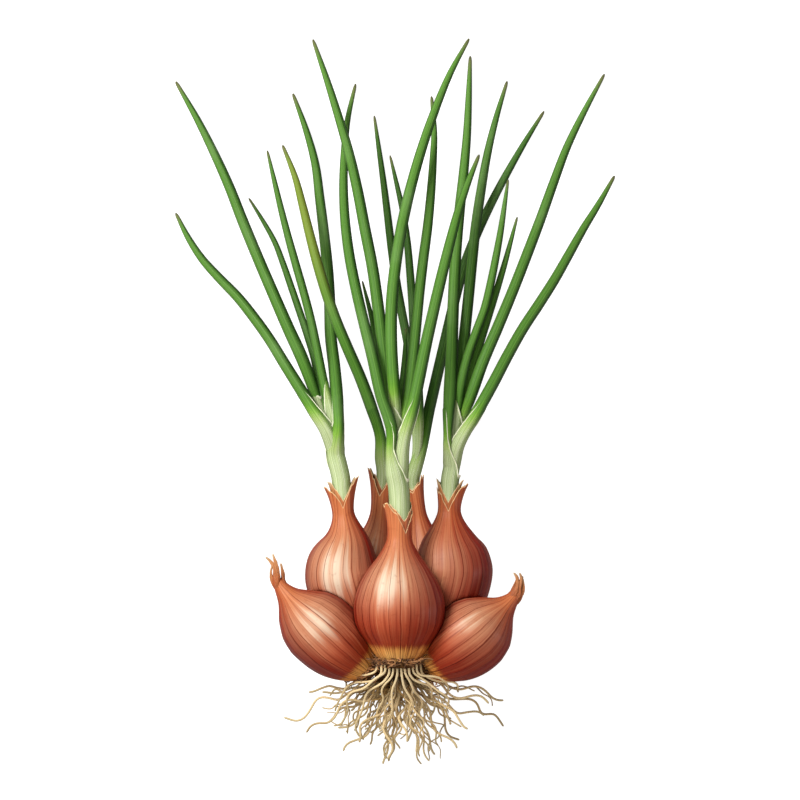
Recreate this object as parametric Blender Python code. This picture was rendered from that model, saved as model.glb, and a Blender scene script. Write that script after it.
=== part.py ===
"""A clump of shallots lifted whole, with its leaves and roots, lying on its back.

Lengths are in millimetres until they reach Blender. In the clump's own axes X runs
across it, Y runs from the root crown (y = 0) up the leaves, and Z is the height above
the surface that it lies on. One empty carries the clump, so that the middle of its
outline stands over the world origin.
"""
import math

import bpy
import bmesh
from mathutils import Matrix, Vector

MM = 0.001
NAME = "shallot"

# Driving dimensions
GAP = 0.3                       # clearance between pieces that touch
MIDDLE = (-0.76, 104.7)           # middle of the clump's outline, in its own axes
CROWN_CENTRE = (0.8, -2.6, 34.0)
CROWN_HALF = (13.0, 4.6, 11.5)  # half sizes of the fibrous root crown
BACK_RADIUS = 12.5              # largest radius of the two bulbs that the clump lies on
REST_FLAT = 4.0                 # radius of the flat where each of them rests
BACK_HEIGHT = math.sqrt(BACK_RADIUS ** 2 - REST_FLAT ** 2)
SPLIT_DEPTH = 6.5               # depth of the split between a neck's two lobes
SPLIT_WIDTH = 8.0               # its width at the top of the widest neck
SPLIT_THROUGH = 30.0            # depth of the wedge that cuts it
STRAIGHT = 1.0                  # where pieces meet end to end, each runs this far straight

# How finely the round pieces are drawn: sides, and points along the length
BULB_SIDES = 16
SHAFT_SIDES, SHAFT_STATIONS = 12, 8
LEAF_SIDES, LEAF_STATIONS = 8, 11
ROOT_SIDES, ROOT_STATIONS = 6, 8
AXIS_STEPS = 200

# Outlines: share of a length against share of the largest radius
BULB_LOWER = ((0.0, 0.45), (0.28, 0.70), (0.52, 0.88), (0.76, 0.97), (1.0, 1.0))
BULB_UPPER = (
    (0.13, 0.97), (0.27, 0.88), (0.40, 0.70), (0.54, 0.46), (0.66, 0.31), (0.80, 0.27),
    (1.0, 0.33),
)
# A bulb whose leaves have died back ends in a thin twisted neck
DRY_UPPER = (
    (0.13, 0.93), (0.30, 0.72), (0.42, 0.50), (0.53, 0.34), (0.64, 0.22), (0.78, 0.16),
    (0.90, 0.15), (1.0, 0.08),
)
LEAF_OUTLINE = (
    (0.0, 0.52), (0.06, 0.72), (0.16, 0.92), (0.30, 1.0), (0.50, 0.94), (0.70, 0.74),
    (0.88, 0.44), (1.0, 0.12),
)

ROOT_OUTLINE = ((0.0, 0.95), (0.5, 0.6), (1.0, 0.3))    # radii in millimetres
ROOT_SAG = 4.0                  # how far a root bows out of a straight line
ROOT_SWAY = 0.035               # sideways wander, as a share of its length
ROOT_WAVES = 1.1

# Bulbs: largest radius, share of the length at which it is reached, and the axis from
# base to neck
BULBS = {
    "front": (18.5, 0.37, [(0.8, 0.4, 44.0), (0.8, 11, 51.0), (0.8, 24, 55.5), (0.8, 45, 56.5),
                           (0.8, 62.8, 56.5)]),
    "outer_left": (14.8, 0.37, [(-9.0, -0.6, 39.5), (-19, 4, 45.0), (-30, 12, 48.0),
                                (-40, 21, 49.0), (-46.8, 29.5, 49.0), (-49.6, 43, 49.0)]),
    "outer_right": (15.0, 0.39, [(11.0, -1.0, 39.5), (21, 3.4, 45.0), (31.5, 10.4, 48.0),
                                 (41, 18, 49.0), (46.5, 24.5, 49.0), (49.6, 35.5, 49.0)]),
    "left": (15.6, 0.48, [(-8.5, 2.2, 32.0), (-15.5, 17, 34.0), (-20.8, 35, 36.5),
                          (-21.8, 52, 37.5), (-21.8, 72, 38.0)]),
    "right": (16.0, 0.48, [(9.8, 2.2, 32.0), (16.6, 17, 34.0), (21.8, 35, 36.5),
                           (21.6, 52, 37.5), (21.6, 72, 38.0)]),
    "back_left": (BACK_RADIUS, 0.42, [(-4.8, 2.2, 26.0), (-9, 13, 16.0), (-12.6, 31, BACK_HEIGHT),
                               (-9.0, 54, 13.8), (-6.4, 75, 15.4)]),
    "back_right": (BACK_RADIUS, 0.42, [(6.2, 2.2, 26.0), (10.5, 13, 16.0), (14.2, 31, BACK_HEIGHT),
                                (11.0, 54, 13.8), (8.4, 74, 15.4)]),
}
DRY_BULBS = ("outer_left", "outer_right")
# A bulb further down this order gives way to those before it where they press together
PRESS_ORDER = ("front", "outer_left", "outer_right", "left", "right", "back_left", "back_right")
RESTING_BULBS = ("back_left", "back_right")

# Shafts: radius low and high, and the axis from inside the neck to the top
SHAFTS = {
    "front": (4.3, 4.1, [(0.8, 52.4, 56.5), (0.7, 70, 56.4), (0.3, 91, 55.8)]),
    "left": (3.8, 3.9, [(-21.8, 53.4, 37.5), (-22.6, 73, 37.6), (-25.2, 89, 37.0)]),
    "right": (3.6, 3.9, [(21.6, 53.4, 37.5), (21.6, 73, 37.6), (23.0, 89, 37.0)]),
    "back_left": (2.5, 2.4, [(-9.0, 61.4, 14.2), (-6.2, 75, 15.4), (-6.8, 89, 17.0)]),
    "back_right": (2.9, 3.0, [(10.2, 61.4, 14.2), (8.1, 75, 15.4), (8.6, 85, 16.6)]),
}

# Leaves: largest radius and the middle line from the shaft to the tip
LEAVES = {
    "left_1": (2.2, [(-28.0, 90.3, 36.8), (-33.5, 101, 36.0), (-43, 116, 32.5), (-51, 129, 28),
                     (-63, 145, 20.5), (-78, 161, 10.5), (-89.5, 179, 0.5)]),
    "left_2": (2.3, [(-26, 90.3, 39.8), (-30.5, 100, 41.4), (-34.4, 113, 39.6), (-41.5, 129, 35.6),
                     (-52, 153, 28), (-60.5, 173, 20.5), (-68.5, 193, 13), (-80, 217, 5), (-89, 232, 0.5)]),
    "left_3": (1.5, [(-26, 90.3, 34.6), (-30, 105, 33.6), (-33, 121, 30.5), (-38, 137, 25.5),
                     (-43.5, 153, 19), (-49.5, 169, 11), (-59, 185, 2.4)]),
    "left_4": (1.7, [(-23.6, 90.3, 38.4), (-26.6, 99, 37.8), (-29, 110, 36.2), (-32, 125, 33),
                     (-35.5, 141, 27.5), (-40, 157, 21.5), (-45.5, 177, 12.5), (-52, 204, 2.0)]),
    "left_5": (2.3, [(-23.2, 90.3, 35.8), (-23.5, 99, 34.8), (-25, 117, 27.5), (-26.5, 129, 22),
                     (-27.5, 153, 14), (-31, 185, 7), (-34, 205, 3.6), (-41.5, 227, 0.5)]),
    "back_left_1": (2.2, [(-7.0, 90.3, 17.1), (-11.5, 105, 20.5), (-16, 117, 24), (-23, 133, 27.5),
                          (-30, 153, 27), (-36.5, 177, 20), (-40.5, 193, 13.5), (-45.5, 206, 9)]),
    "front_1": (2.2, [(-2.1, 92.3, 57.2), (-5, 101, 57.6), (-8.6, 117, 54), (-11.5, 129, 49.5),
                      (-15.5, 145, 42.5), (-20, 169, 30.5), (-21.5, 193, 18), (-20, 217, 6.5),
                      (-17, 231, 0.5)]),
    "front_2": (2.3, [(0.2, 92.3, 55.8), (-2.9, 107, 53.2), (-5.5, 125, 49), (-9, 153, 41),
                      (-12, 169, 35.5), (-18.5, 201, 23.5), (-28, 233, 9), (-33.5, 249, 0.6)]),
    "front_3": (1.3, [(-2.1, 92.3, 54.4), (-4.0, 105, 48.6), (-7, 121, 42.5), (-10, 137, 36.5),
                      (-13.5, 151, 31)]),
    "front_4": (2.3, [(0.3, 92.3, 58.5), (-0.5, 103, 59.6), (-2, 117, 57), (-2, 145, 48.5),
                      (2.5, 177, 35.5), (11, 209, 21.5), (20, 233, 9.5), (28.5, 251, 0.5)]),
    "front_5": (2.3, [(2.7, 92.3, 57.2), (5.5, 99, 58.2), (12, 129, 49.5), (19.5, 161, 37),
                      (26, 185, 26), (32.5, 202, 18)]),
    "front_6": (2.1, [(2.7, 92.3, 54.4), (3.8, 101, 52.4), (6.2, 121, 46), (9.5, 153, 34.5),
                      (13, 181, 22.5), (15, 213, 7.5), (14, 226, 0.5)]),
    "front_7": (1.3, [(0.3, 92.3, 53.0), (1.5, 105, 47.2), (3, 121, 40.5), (3.5, 132, 36.2)]),
    "back_right_1": (1.8, [(7.2, 86.3, 15.6), (7.0, 105, 13.0), (4.5, 127, 10.4), (2.5, 137, 9.2),
                           (-1, 157, 7.2), (-5.5, 193, 3.6), (-9, 218, 0.5)]),
    "back_right_2": (1.7, [(8.8, 86.3, 18.2), (8.8, 105, 19.6), (7, 129, 17.6), (5.5, 153, 13.6),
                           (3, 177, 8.6), (-2.5, 202, 2.2)]),
    "back_right_3": (2.1, [(10.1, 86.3, 15.6), (14, 105, 13.6), (18.5, 125, 11), (26.5, 157, 7),
                           (34.5, 177, 4.8), (47, 201, 2.6), (58.5, 220, 0.5)]),
    "right_1": (2.3, [(20.9, 90.3, 37.4), (20.5, 97, 37.0), (21.5, 113, 33.5), (22.5, 141, 26),
                      (24, 169, 18.5), (28, 209, 7), (29.5, 242, 0.5)]),
    "right_2": (2.2, [(22.9, 90.3, 34.6), (24, 101, 31.5), (26.5, 125, 25), (29, 149, 21),
                      (32, 177, 14), (37.5, 209, 6), (44, 232, 0.5)]),
    "right_3": (1.7, [(23.3, 90.3, 37.5), (25.2, 109, 37.8), (29, 125, 34), (35, 141, 29),
                      (41, 169, 19.5), (44.5, 192, 11.5)]),
    "right_4": (1.6, [(25.4, 90.3, 36.0), (26.2, 101, 34.4), (28.9, 113, 32.5), (35, 133, 27.5),
                      (42.5, 157, 19), (48, 177, 12.5)]),
    "right_5": (2.2, [(22.8, 90.3, 39.8), (27, 99, 41), (31.5, 113, 39), (45, 145, 28),
                      (57.5, 177, 16.5), (69.5, 209, 6), (83, 235, 0.5)]),
    "right_6": (2.2, [(25.6, 90.3, 38.9), (29.5, 96, 39.0), (36, 107, 36.5), (49, 131, 28),
                      (62, 151, 19.5), (77, 177, 8), (88, 194, 0.5)]),
}

# Main roots: the tip of each, left to right
ROOT_TIPS = (
    (-36, -11, 28), (-31.6, -12.8, 14), (-44.8, -21.6, 34), (-35.6, -30.4, 6), (-26.8, -23.2, 46),
    (-24, -26.4, 22), (-18.8, -37.6, 32), (-14, -30, 48), (-10.4, -31.2, 6), (-4.4, -39.6, 28),
    (-2.4, -36, 44), (-0.4, -41.6, 10), (4.6, -30.4, 53), (8.4, -34.8, 34), (15.6, -35.6, 16),
    (23.2, -33.6, 38), (25.6, -30.4, 6), (28, -25.6, 48), (36.8, -22.4, 27), (44.4, -26.4, 8),
    (35.6, -15.2, 42), (42.8, -14.8, 30), (-17, -19, 2.5), (17, -20, 2.5),
)


def clear_scene():
    for thing in list(bpy.data.objects):
        bpy.data.objects.remove(thing, do_unlink=True)


def new_collection(name):
    group = bpy.data.collections.new(name)
    bpy.context.scene.collection.children.link(group)
    return group


def new_material(name, colour, roughness):
    material = bpy.data.materials.new(name)
    material.use_nodes = True
    shader = material.node_tree.nodes["Principled BSDF"]
    shader.inputs["Base Color"].default_value = (*colour, 1.0)
    shader.inputs["Roughness"].default_value = roughness
    shader.inputs["Metallic"].default_value = 0.0
    material.diffuse_color = (*colour, 1.0)
    return material


def smooth_route(points, count, start=None, end=None):
    """Points along one smooth curve through the given ones; start and end set its ends' directions."""
    points = [Vector(point) for point in points]
    lengths = [0.0]
    for before, after in zip(points, points[1:]):
        lengths.append(lengths[-1] + (after - before).length)
    last = len(points) - 1
    slopes = []
    for i in range(last + 1):
        low, high = max(i - 1, 0), min(i + 1, last)
        slopes.append((points[high] - points[low]) / (lengths[high] - lengths[low]))
    if start:
        slopes[0] = Vector(start)
    if end:
        slopes[last] = Vector(end)
    route = []
    for step in range(count):
        place = lengths[-1] * step / (count - 1)
        i = max(k for k in range(last) if lengths[k] <= place)
        span = lengths[i + 1] - lengths[i]
        u = (place - lengths[i]) / span
        route.append((2 * u ** 3 - 3 * u ** 2 + 1) * points[i]
                     + (u ** 3 - 2 * u ** 2 + u) * span * slopes[i]
                     + (3 * u ** 2 - 2 * u ** 3) * points[i + 1]
                     + (u ** 3 - u ** 2) * span * slopes[i + 1])
    return route


def share_at(outline, place):
    """The outline's value at a share of its length."""
    for (low, a), (high, b) in zip(outline, outline[1:]):
        if place <= high:
            return a + (b - a) * (place - low) / (high - low)
    return outline[-1][1]


def tube(name, route, radii, sides, group):
    """A round tube along a route, with its own radius at every point, as a mesh."""
    curve = bpy.data.curves.new(name, "CURVE")
    curve.dimensions = "3D"
    curve.fill_mode = "FULL"
    curve.bevel_depth = MM
    curve.bevel_resolution = (sides - 4) // 2
    curve.use_fill_caps = True
    spline = curve.splines.new("POLY")
    spline.points.add(len(route) - 1)
    for point, place, radius in zip(spline.points, route, radii):
        point.co = (*(place * MM), 1.0)
        point.radius = radius
    drawn = bpy.data.objects.new(name + "_curve", curve)
    group.objects.link(drawn)
    depsgraph = bpy.context.evaluated_depsgraph_get()
    mesh = bpy.data.meshes.new_from_object(drawn.evaluated_get(depsgraph))
    work = bmesh.new()
    work.from_mesh(mesh)
    bmesh.ops.remove_doubles(work, verts=work.verts, dist=0.00001)
    bmesh.ops.recalc_face_normals(work, faces=work.faces)
    work.to_mesh(mesh)
    work.free()
    mesh.name = name
    piece = bpy.data.objects.new(name, mesh)
    piece.matrix_world = drawn.matrix_world
    group.objects.link(piece)
    bpy.data.objects.remove(drawn, do_unlink=True)
    bpy.data.curves.remove(curve)
    return piece


def finish_piece(piece, material, carrier):
    piece.data.materials.clear()
    piece.data.materials.append(material)
    piece.data.shade_smooth()
    piece.data.set_sharp_from_angle(angle=math.radians(40))
    piece.parent = carrier
    return piece


def as_cutter(piece, carrier):
    piece.hide_render = True
    piece.display_type = "WIRE"
    piece.parent = carrier
    return piece


def cut(piece, cutter):
    boolean = piece.modifiers.new("cut_" + cutter.name, "BOOLEAN")
    boolean.operation = "DIFFERENCE"
    boolean.object = cutter


def crown_body(name, grown, group):
    """The squat fibrous crown that every bulb and root grows from."""
    mesh = bpy.data.meshes.new(name)
    work = bmesh.new()
    bmesh.ops.create_uvsphere(work, u_segments=20, v_segments=10, radius=1.0)
    sizes = Matrix.Diagonal([(half + grown) * MM for half in CROWN_HALF] + [1.0])
    turn = Matrix.Rotation(math.pi / 2, 4, "X")
    place = Matrix.Translation(Vector(CROWN_CENTRE) * MM)
    bmesh.ops.transform(work, matrix=place @ sizes @ turn, verts=work.verts)
    work.to_mesh(mesh)
    work.free()
    piece = bpy.data.objects.new(name, mesh)
    group.objects.link(piece)
    return piece


def bulb_body(name, key, grown, group):
    """A bulb's outer shape; grown makes it larger all round, for cutting its neighbours."""
    radius, belly, axis = BULBS[key]
    upper = DRY_UPPER if key in DRY_BULBS else BULB_UPPER
    outline = [(place * belly, share) for place, share in BULB_LOWER]
    outline += [(belly + place * (1.0 - belly), share) for place, share in upper]
    fine = smooth_route(axis, AXIS_STEPS + 1)
    route = [fine[round(place * AXIS_STEPS)] for place, _ in outline]
    route[0] -= (route[1] - route[0]).normalized() * grown
    route[-1] += (route[-1] - route[-2]).normalized() * grown
    return tube(name, route, [radius * share + grown for _, share in outline], BULB_SIDES, group)


def shaft_tube(name, key, grown, group):
    low, high, axis = SHAFTS[key]
    route = smooth_route(axis, SHAFT_STATIONS, end=(0, 1, 0))
    route[0] -= (route[1] - route[0]).normalized() * grown
    route.append(route[-1] + Vector((0, STRAIGHT, 0)))
    radii = [low + (high - low) * i / SHAFT_STATIONS + grown for i in range(SHAFT_STATIONS + 1)]
    return tube(name, route, radii, SHAFT_SIDES, group)


def neck_cutters(key, group):
    """The socket that a shaft stands in and the split that leaves two lobes of dry skin."""
    low, _, axis = SHAFTS[key]
    socket = shaft_tube("socket_" + key, key, GAP, group)
    top = Vector(BULBS[key][2][-1])
    along = (top - Vector(axis[0])).normalized()
    widest = max(thickness for thickness, _, _ in SHAFTS.values())
    half_width = SPLIT_WIDTH / 2 * low / widest
    mesh = bpy.data.meshes.new("split_" + key)
    work = bmesh.new()
    bmesh.ops.create_cone(work, cap_ends=True, segments=3, radius1=1.0, radius2=1.0, depth=1.0)
    point_down = Matrix.Rotation(math.pi, 4, "Z")
    sizes = Matrix.Diagonal((half_width / math.cos(math.pi / 6) * MM, SPLIT_DEPTH * MM,
                             SPLIT_THROUGH * MM, 1.0))
    place = Matrix.Translation((top + along * STRAIGHT) * MM)
    bmesh.ops.transform(work, matrix=place @ sizes @ point_down, verts=work.verts)
    work.to_mesh(mesh)
    work.free()
    split = bpy.data.objects.new("split_" + key, mesh)
    group.objects.link(split)
    return socket, split


def floor_cutter(group):
    """A block whose top is the surface that the clump lies on."""
    size = 200.0
    mesh = bpy.data.meshes.new("below_surface")
    work = bmesh.new()
    bmesh.ops.create_cube(work, size=size * MM)
    bmesh.ops.translate(work, vec=(0, 0, -size / 2 * MM), verts=work.verts)
    work.to_mesh(mesh)
    work.free()
    piece = bpy.data.objects.new("below_surface", mesh)
    group.objects.link(piece)
    return piece


def root_route(tip, index):
    """A root leaves the crown square to its surface, then bows and wanders towards its tip."""
    centre = Vector(CROWN_CENTRE)
    tip = Vector(tip)
    away = tip - centre
    reach = math.sqrt(sum((part / half) ** 2 for part, half in zip(away, CROWN_HALF)))
    start = centre + away / reach
    out = Vector([part / half ** 2 for part, half in zip(start - centre, CROWN_HALF)]).normalized()
    route = [start + out * GAP]
    start = route[0] + out * STRAIGHT
    along = tip - start
    side = along.cross(Vector((0, 0, 1))).normalized()
    for step in range(ROOT_STATIONS):
        t = step / (ROOT_STATIONS - 1)
        wave = math.sin(t * math.tau * ROOT_WAVES + index * 2.4) * math.sin(math.pi * t)
        bow = out * ROOT_SAG * t * (1 - t)
        route.append(start + along * t + side * wave * ROOT_SWAY * along.length + bow)
    return route


def add_bulbs(skin, parts, cutters, carrier):
    crown_room = as_cutter(crown_body("room_crown", GAP, cutters), carrier)
    surface = as_cutter(floor_cutter(cutters), carrier)
    rooms = [crown_room]
    for key in PRESS_ORDER:
        bulb = bulb_body("bulb_" + key, key, 0.0, parts)
        for room in rooms:
            cut(bulb, room)
        if key in SHAFTS:
            for cutter in neck_cutters(key, cutters):
                cut(bulb, as_cutter(cutter, carrier))
        if key in RESTING_BULBS:
            cut(bulb, surface)
        finish_piece(bulb, skin, carrier)
        rooms.append(as_cutter(bulb_body("room_" + key, key, GAP, cutters), carrier))


def add_shafts(sheath, parts, carrier):
    for key in SHAFTS:
        finish_piece(shaft_tube("shaft_" + key, key, 0.0, parts), sheath, carrier)


def add_leaves(green, parts, carrier):
    for key, (radius, points) in LEAVES.items():
        route = smooth_route(points, LEAF_STATIONS, start=(0, 1, 0))
        route[0] += Vector((0, STRAIGHT, 0))
        route.insert(0, Vector(points[0]))
        places = [max(i - 1, 0) / (LEAF_STATIONS - 1) for i in range(LEAF_STATIONS + 1)]
        radii = [radius * share_at(LEAF_OUTLINE, place) for place in places]
        finish_piece(tube("leaf_" + key, route, radii, LEAF_SIDES, parts), green, carrier)


def add_roots(tan, parts, carrier):
    for index, tip in enumerate(ROOT_TIPS):
        places = [max(i - 1, 0) / (ROOT_STATIONS - 1) for i in range(ROOT_STATIONS + 1)]
        radii = [share_at(ROOT_OUTLINE, place) for place in places]
        name = f"root_{index + 1:02d}"
        finish_piece(tube(name, root_route(tip, index), radii, ROOT_SIDES, parts), tan, carrier)


def build():
    clear_scene()
    parts = new_collection(NAME)
    cutters = new_collection(NAME + "_cutters")
    carrier = bpy.data.objects.new(NAME, None)
    carrier.location = (-MIDDLE[0] * MM, -MIDDLE[1] * MM, 0.0)
    parts.objects.link(carrier)

    fibre = new_material("crown_fibre", (0.16, 0.08, 0.03), 0.9)
    skin = new_material("bulb_skin", (0.44, 0.13, 0.07), 0.35)
    sheath = new_material("sheath", (0.55, 0.66, 0.36), 0.45)
    green = new_material("leaf", (0.07, 0.24, 0.04), 0.45)
    tan = new_material("root", (0.52, 0.38, 0.20), 0.8)

    finish_piece(crown_body("root_crown", 0.0, parts), fibre, carrier)
    add_bulbs(skin, parts, cutters, carrier)
    add_shafts(sheath, parts, carrier)
    add_leaves(green, parts, carrier)
    add_roots(tan, parts, carrier)


build()
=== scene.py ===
"""The finish of a lifted clump of shallots that lies on its back.

Lengths are in millimetres, in the clump's own axes: X runs across it, Y from the root
crown up the leaves, and Z is the height above the surface. A piece is modelled straight,
along X, bent along its own middle line, and settled in the frame as it is finished.
"""
import random
from math import atan2, cos, degrees, hypot, pi, radians, sin, sqrt, tau

import bmesh
import bpy
from mathutils import Matrix, Vector, noise
from mathutils.bvhtree import BVHTree


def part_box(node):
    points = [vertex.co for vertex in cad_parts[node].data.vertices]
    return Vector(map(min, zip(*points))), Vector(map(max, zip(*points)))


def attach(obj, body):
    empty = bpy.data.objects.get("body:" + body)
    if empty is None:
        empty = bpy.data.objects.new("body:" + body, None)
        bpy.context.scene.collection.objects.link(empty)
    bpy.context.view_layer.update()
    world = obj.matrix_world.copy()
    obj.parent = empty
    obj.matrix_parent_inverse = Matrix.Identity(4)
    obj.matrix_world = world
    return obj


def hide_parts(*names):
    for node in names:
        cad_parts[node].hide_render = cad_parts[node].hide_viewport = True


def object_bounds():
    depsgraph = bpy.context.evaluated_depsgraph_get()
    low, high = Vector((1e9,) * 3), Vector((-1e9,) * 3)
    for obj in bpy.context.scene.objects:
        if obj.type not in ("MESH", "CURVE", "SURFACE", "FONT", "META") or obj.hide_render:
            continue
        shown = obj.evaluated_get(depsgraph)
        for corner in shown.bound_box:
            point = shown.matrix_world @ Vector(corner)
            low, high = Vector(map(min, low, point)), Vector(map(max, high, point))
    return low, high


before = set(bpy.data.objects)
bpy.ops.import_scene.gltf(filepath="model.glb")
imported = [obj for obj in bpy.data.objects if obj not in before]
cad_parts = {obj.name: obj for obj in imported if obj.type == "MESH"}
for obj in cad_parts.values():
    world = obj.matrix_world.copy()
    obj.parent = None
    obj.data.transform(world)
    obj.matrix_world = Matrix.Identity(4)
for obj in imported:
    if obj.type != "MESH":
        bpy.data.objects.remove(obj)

MM = 0.001
BODY = "root"
CROWN_CENTRE = Vector((0.8, -2.6, 34.0))
CROWN_HALF = Vector((13.0, 4.6, 11.5))
GAP = 0.3

cad_low, cad_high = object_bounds()
crown_low, crown_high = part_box("root_crown")
SHIFT = (crown_low + crown_high) / 2 / MM - CROWN_CENTRE

# Outlines: share of a length against share of the largest radius
BULB_LOWER = ((0.0, 0.40), (0.20, 0.57), (0.36, 0.715), (0.67, 0.915), (1.0, 1.0))
FRONT_LOWER = ((0.0, 0.45), (0.12, 0.54), (0.27, 0.65), (0.36, 0.72), (0.55, 0.88), (0.73, 0.968),
               (1.0, 1.0))
DRY_LOWER = ((0.0, 0.38), (0.20, 0.62), (0.41, 0.82), (0.60, 0.935), (0.77, 0.985), (1.0, 1.0))
BULB_UPPER = ((0.10, 0.965), (0.22, 0.875), (0.35, 0.71), (0.49, 0.48), (0.61, 0.31), (0.75, 0.15),
              (1.0, 0.10))
DRY_UPPER = ((0.10, 0.985), (0.27, 0.87), (0.36, 0.75), (0.45, 0.61), (0.62, 0.32), (0.85, 0.13),
             (1.0, 0.05))

# Bulbs: largest radius, share of the length at which it is reached, and the axis
BULBS = {
    "front": (18.3, 0.348, [(0.9, 1.2, 53.2), (0.9, 10, 54.0), (0.9, 22, 54.7), (0.9, 45, 56.0),
                            (1.0, 62.8, 56.4)]),
    "outer_left": (14.9, 0.44, [(-12.2, -3.0, 43.0), (-19.4, 3.0, 45.4), (-31.5, 14.3, 48.2),
                                (-40.2, 22.8, 49.0), (-47.4, 32.1, 49.2), (-48.7, 37.2, 49.2)]),
    "outer_right": (15.2, 0.45, [(11.9, -1.4, 43.0), (18.4, 2.5, 45.4), (29.8, 10.7, 48.2),
                                 (39.7, 19.4, 49.0), (47.2, 27.2, 49.2), (48.6, 31.6, 49.2)]),
    "left": (15.6, 0.47, [(-8.5, 2.2, 32.0), (-15.5, 17, 34.0), (-21.4, 35, 36.5),
                          (-20.4, 50, 37.3), (-21.6, 61, 37.8), (-22.2, 72, 38.0)]),
    "right": (16.0, 0.51, [(9.8, 2.2, 32.0), (16.6, 17, 34.0), (22.2, 35, 36.5),
                           (21.1, 49, 37.3), (20.8, 60, 37.8), (21.0, 72, 38.0)]),
    "back_left": (12.5, 0.42, [(-4.8, 2.2, 26.0), (-8.6, 13, 16.0), (-11.6, 31, 11.84),
                               (-7.4, 54, 13.8), (-5.5, 75, 15.4)]),
    "back_right": (12.5, 0.42, [(6.2, 2.2, 26.0), (10.5, 13, 16.0), (13.8, 31, 11.84),
                                (9.2, 54, 13.8), (5.9, 73.2, 15.4)]),
}
DRY_BULBS = ("outer_left", "outer_right")
PRESS_ORDER = ("front", "outer_left", "outer_right", "left", "right", "back_left", "back_right")
VEINS = {"front": 26, "outer_left": 22, "outer_right": 22, "left": 22, "right": 22,
         "back_left": 18, "back_right": 18}


# ---------------------------------------------------------------- hand tools

def pick(*pieces):
    """Selects these pieces and no others, and makes the first the active one."""
    bpy.ops.object.select_all(action="DESELECT")
    for piece in pieces:
        piece.select_set(True)
    if pieces:
        bpy.context.view_layer.objects.active = pieces[0]


def turned(name, outline, sides):
    """A straight piece turned about X, from an outline of places along X and radii."""
    pick()
    bpy.ops.mesh.primitive_plane_add(size=1.0)
    piece = bpy.context.object
    piece.name = piece.data.name = name
    bpy.ops.object.mode_set(mode="EDIT")
    bpy.ops.mesh.merge(type="CENTER")
    bpy.ops.transform.translate(value=(outline[0][0], outline[0][1], 0.0))
    for (x0, r0), (x1, r1) in zip(outline, outline[1:]):
        bpy.ops.mesh.extrude_region_move(TRANSFORM_OT_translate={"value": (x1 - x0, r1 - r0, 0.0)})
    bpy.ops.mesh.select_all(action="SELECT")
    bpy.ops.mesh.spin(steps=sides, angle=tau, center=(0, 0, 0), axis=(1, 0, 0))
    bpy.ops.mesh.select_all(action="SELECT")
    bpy.ops.mesh.remove_doubles(threshold=0.00005)
    bpy.ops.mesh.normals_make_consistent(inside=False)
    bpy.ops.object.mode_set(mode="OBJECT")
    bpy.ops.object.shade_smooth()
    return piece


def copied(template, name):
    piece = template.copy()
    piece.data = template.data.copy()
    piece.name = piece.data.name = name
    bpy.context.collection.objects.link(piece)
    return piece


def distances(line):
    """How far along a line each of its points is."""
    done = [0.0]
    for before, after in zip(line, line[1:]):
        done.append(done[-1] + (after.xyz - before.xyz).length)
    return done


def length_of(line):
    return distances(line)[-1]


def curved(places, values, place):
    """A smooth curve's value at a place, where it runs through the values at the places."""
    last = len(places) - 1
    i = max(k for k in range(last) if places[k] <= place + 1e-9)
    slopes = []
    for k in (i, i + 1):
        low, high = max(k - 1, 0), min(k + 1, last)
        slopes.append((values[high] - values[low]) / (places[high] - places[low]))
    span = places[i + 1] - places[i]
    u = (place - places[i]) / span
    return ((2 * u ** 3 - 3 * u ** 2 + 1) * values[i] + (u ** 3 - 2 * u ** 2 + u) * span * slopes[0]
            + (3 * u ** 2 - 2 * u ** 3) * values[i + 1] + (u ** 3 - u ** 2) * span * slopes[1])


def smooth_line(points, count):
    """Evenly spaced points on one smooth curve; a point's fourth number, if any, is its radius."""
    done = distances(points)
    return [curved(done, points, done[-1] * step / (count - 1)) for step in range(count)]


def drawn(points, count):
    """A smooth line through places given as three numbers."""
    return smooth_line([Vector((*point, 1.0)) for point in points], count)


def eased(table, place):
    """A smooth curve's value between the rows of a table of places and values."""
    places, values = zip(*table)
    if place <= places[0]:
        return values[0]
    return values[-1] if place >= places[-1] else curved(places, values, place)


def smoothed(value, start, span):
    """Goes from 0 to 1 past a start, over a span, without a corner at either end."""
    share = min(max((value - start) / span, 0.0), 1.0)
    return share * share * (3 - 2 * share)


def bend(piece, line, stretch):
    """Bends a straight piece along a line, and gives it the radii that the line carries.

    Stretched, a piece of unit length covers the whole line; else it keeps its own length.
    """
    curve = bpy.data.curves.new(piece.name + "_line", "CURVE")
    curve.dimensions = "3D"
    curve.twist_mode = "Z_UP"
    curve.use_stretch = stretch
    curve.use_deform_bounds = False
    spline = curve.splines.new("POLY")
    spline.points.add(len(line) - 1)
    for point, place in zip(spline.points, line):
        point.co = (*place.xyz, 1.0)
        point.radius = place.w if len(place) == 4 else 1.0
    guide = bpy.data.objects.new(piece.name + "_line", curve)
    bpy.context.collection.objects.link(guide)
    deform = piece.modifiers.new("bend", "CURVE")
    deform.object = guide
    deform.deform_axis = "POS_X"
    apply_all(piece)
    bpy.data.objects.remove(guide, do_unlink=True)
    bpy.data.curves.remove(curve)


def apply_all(piece):
    pick(piece)
    for modifier in list(piece.modifiers):
        bpy.ops.object.modifier_apply(modifier=modifier.name)


def angle_round(co):
    return atan2(co.z, co.y)


def apart(angle, other):
    """The angle between two directions round an axis, the shorter way round."""
    return abs((angle - other + pi) % tau - pi)


def put(v, along, out, angle):
    """Moves a point of a straight piece to a place along, out from and round its axis."""
    v.co = (along, out * cos(angle), out * sin(angle))


def ragged(angle, fineness, seed):
    """Chance unevenness round a rim."""
    return noise.noise(Vector((cos(angle) * fineness, sin(angle) * fineness, seed)))


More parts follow.
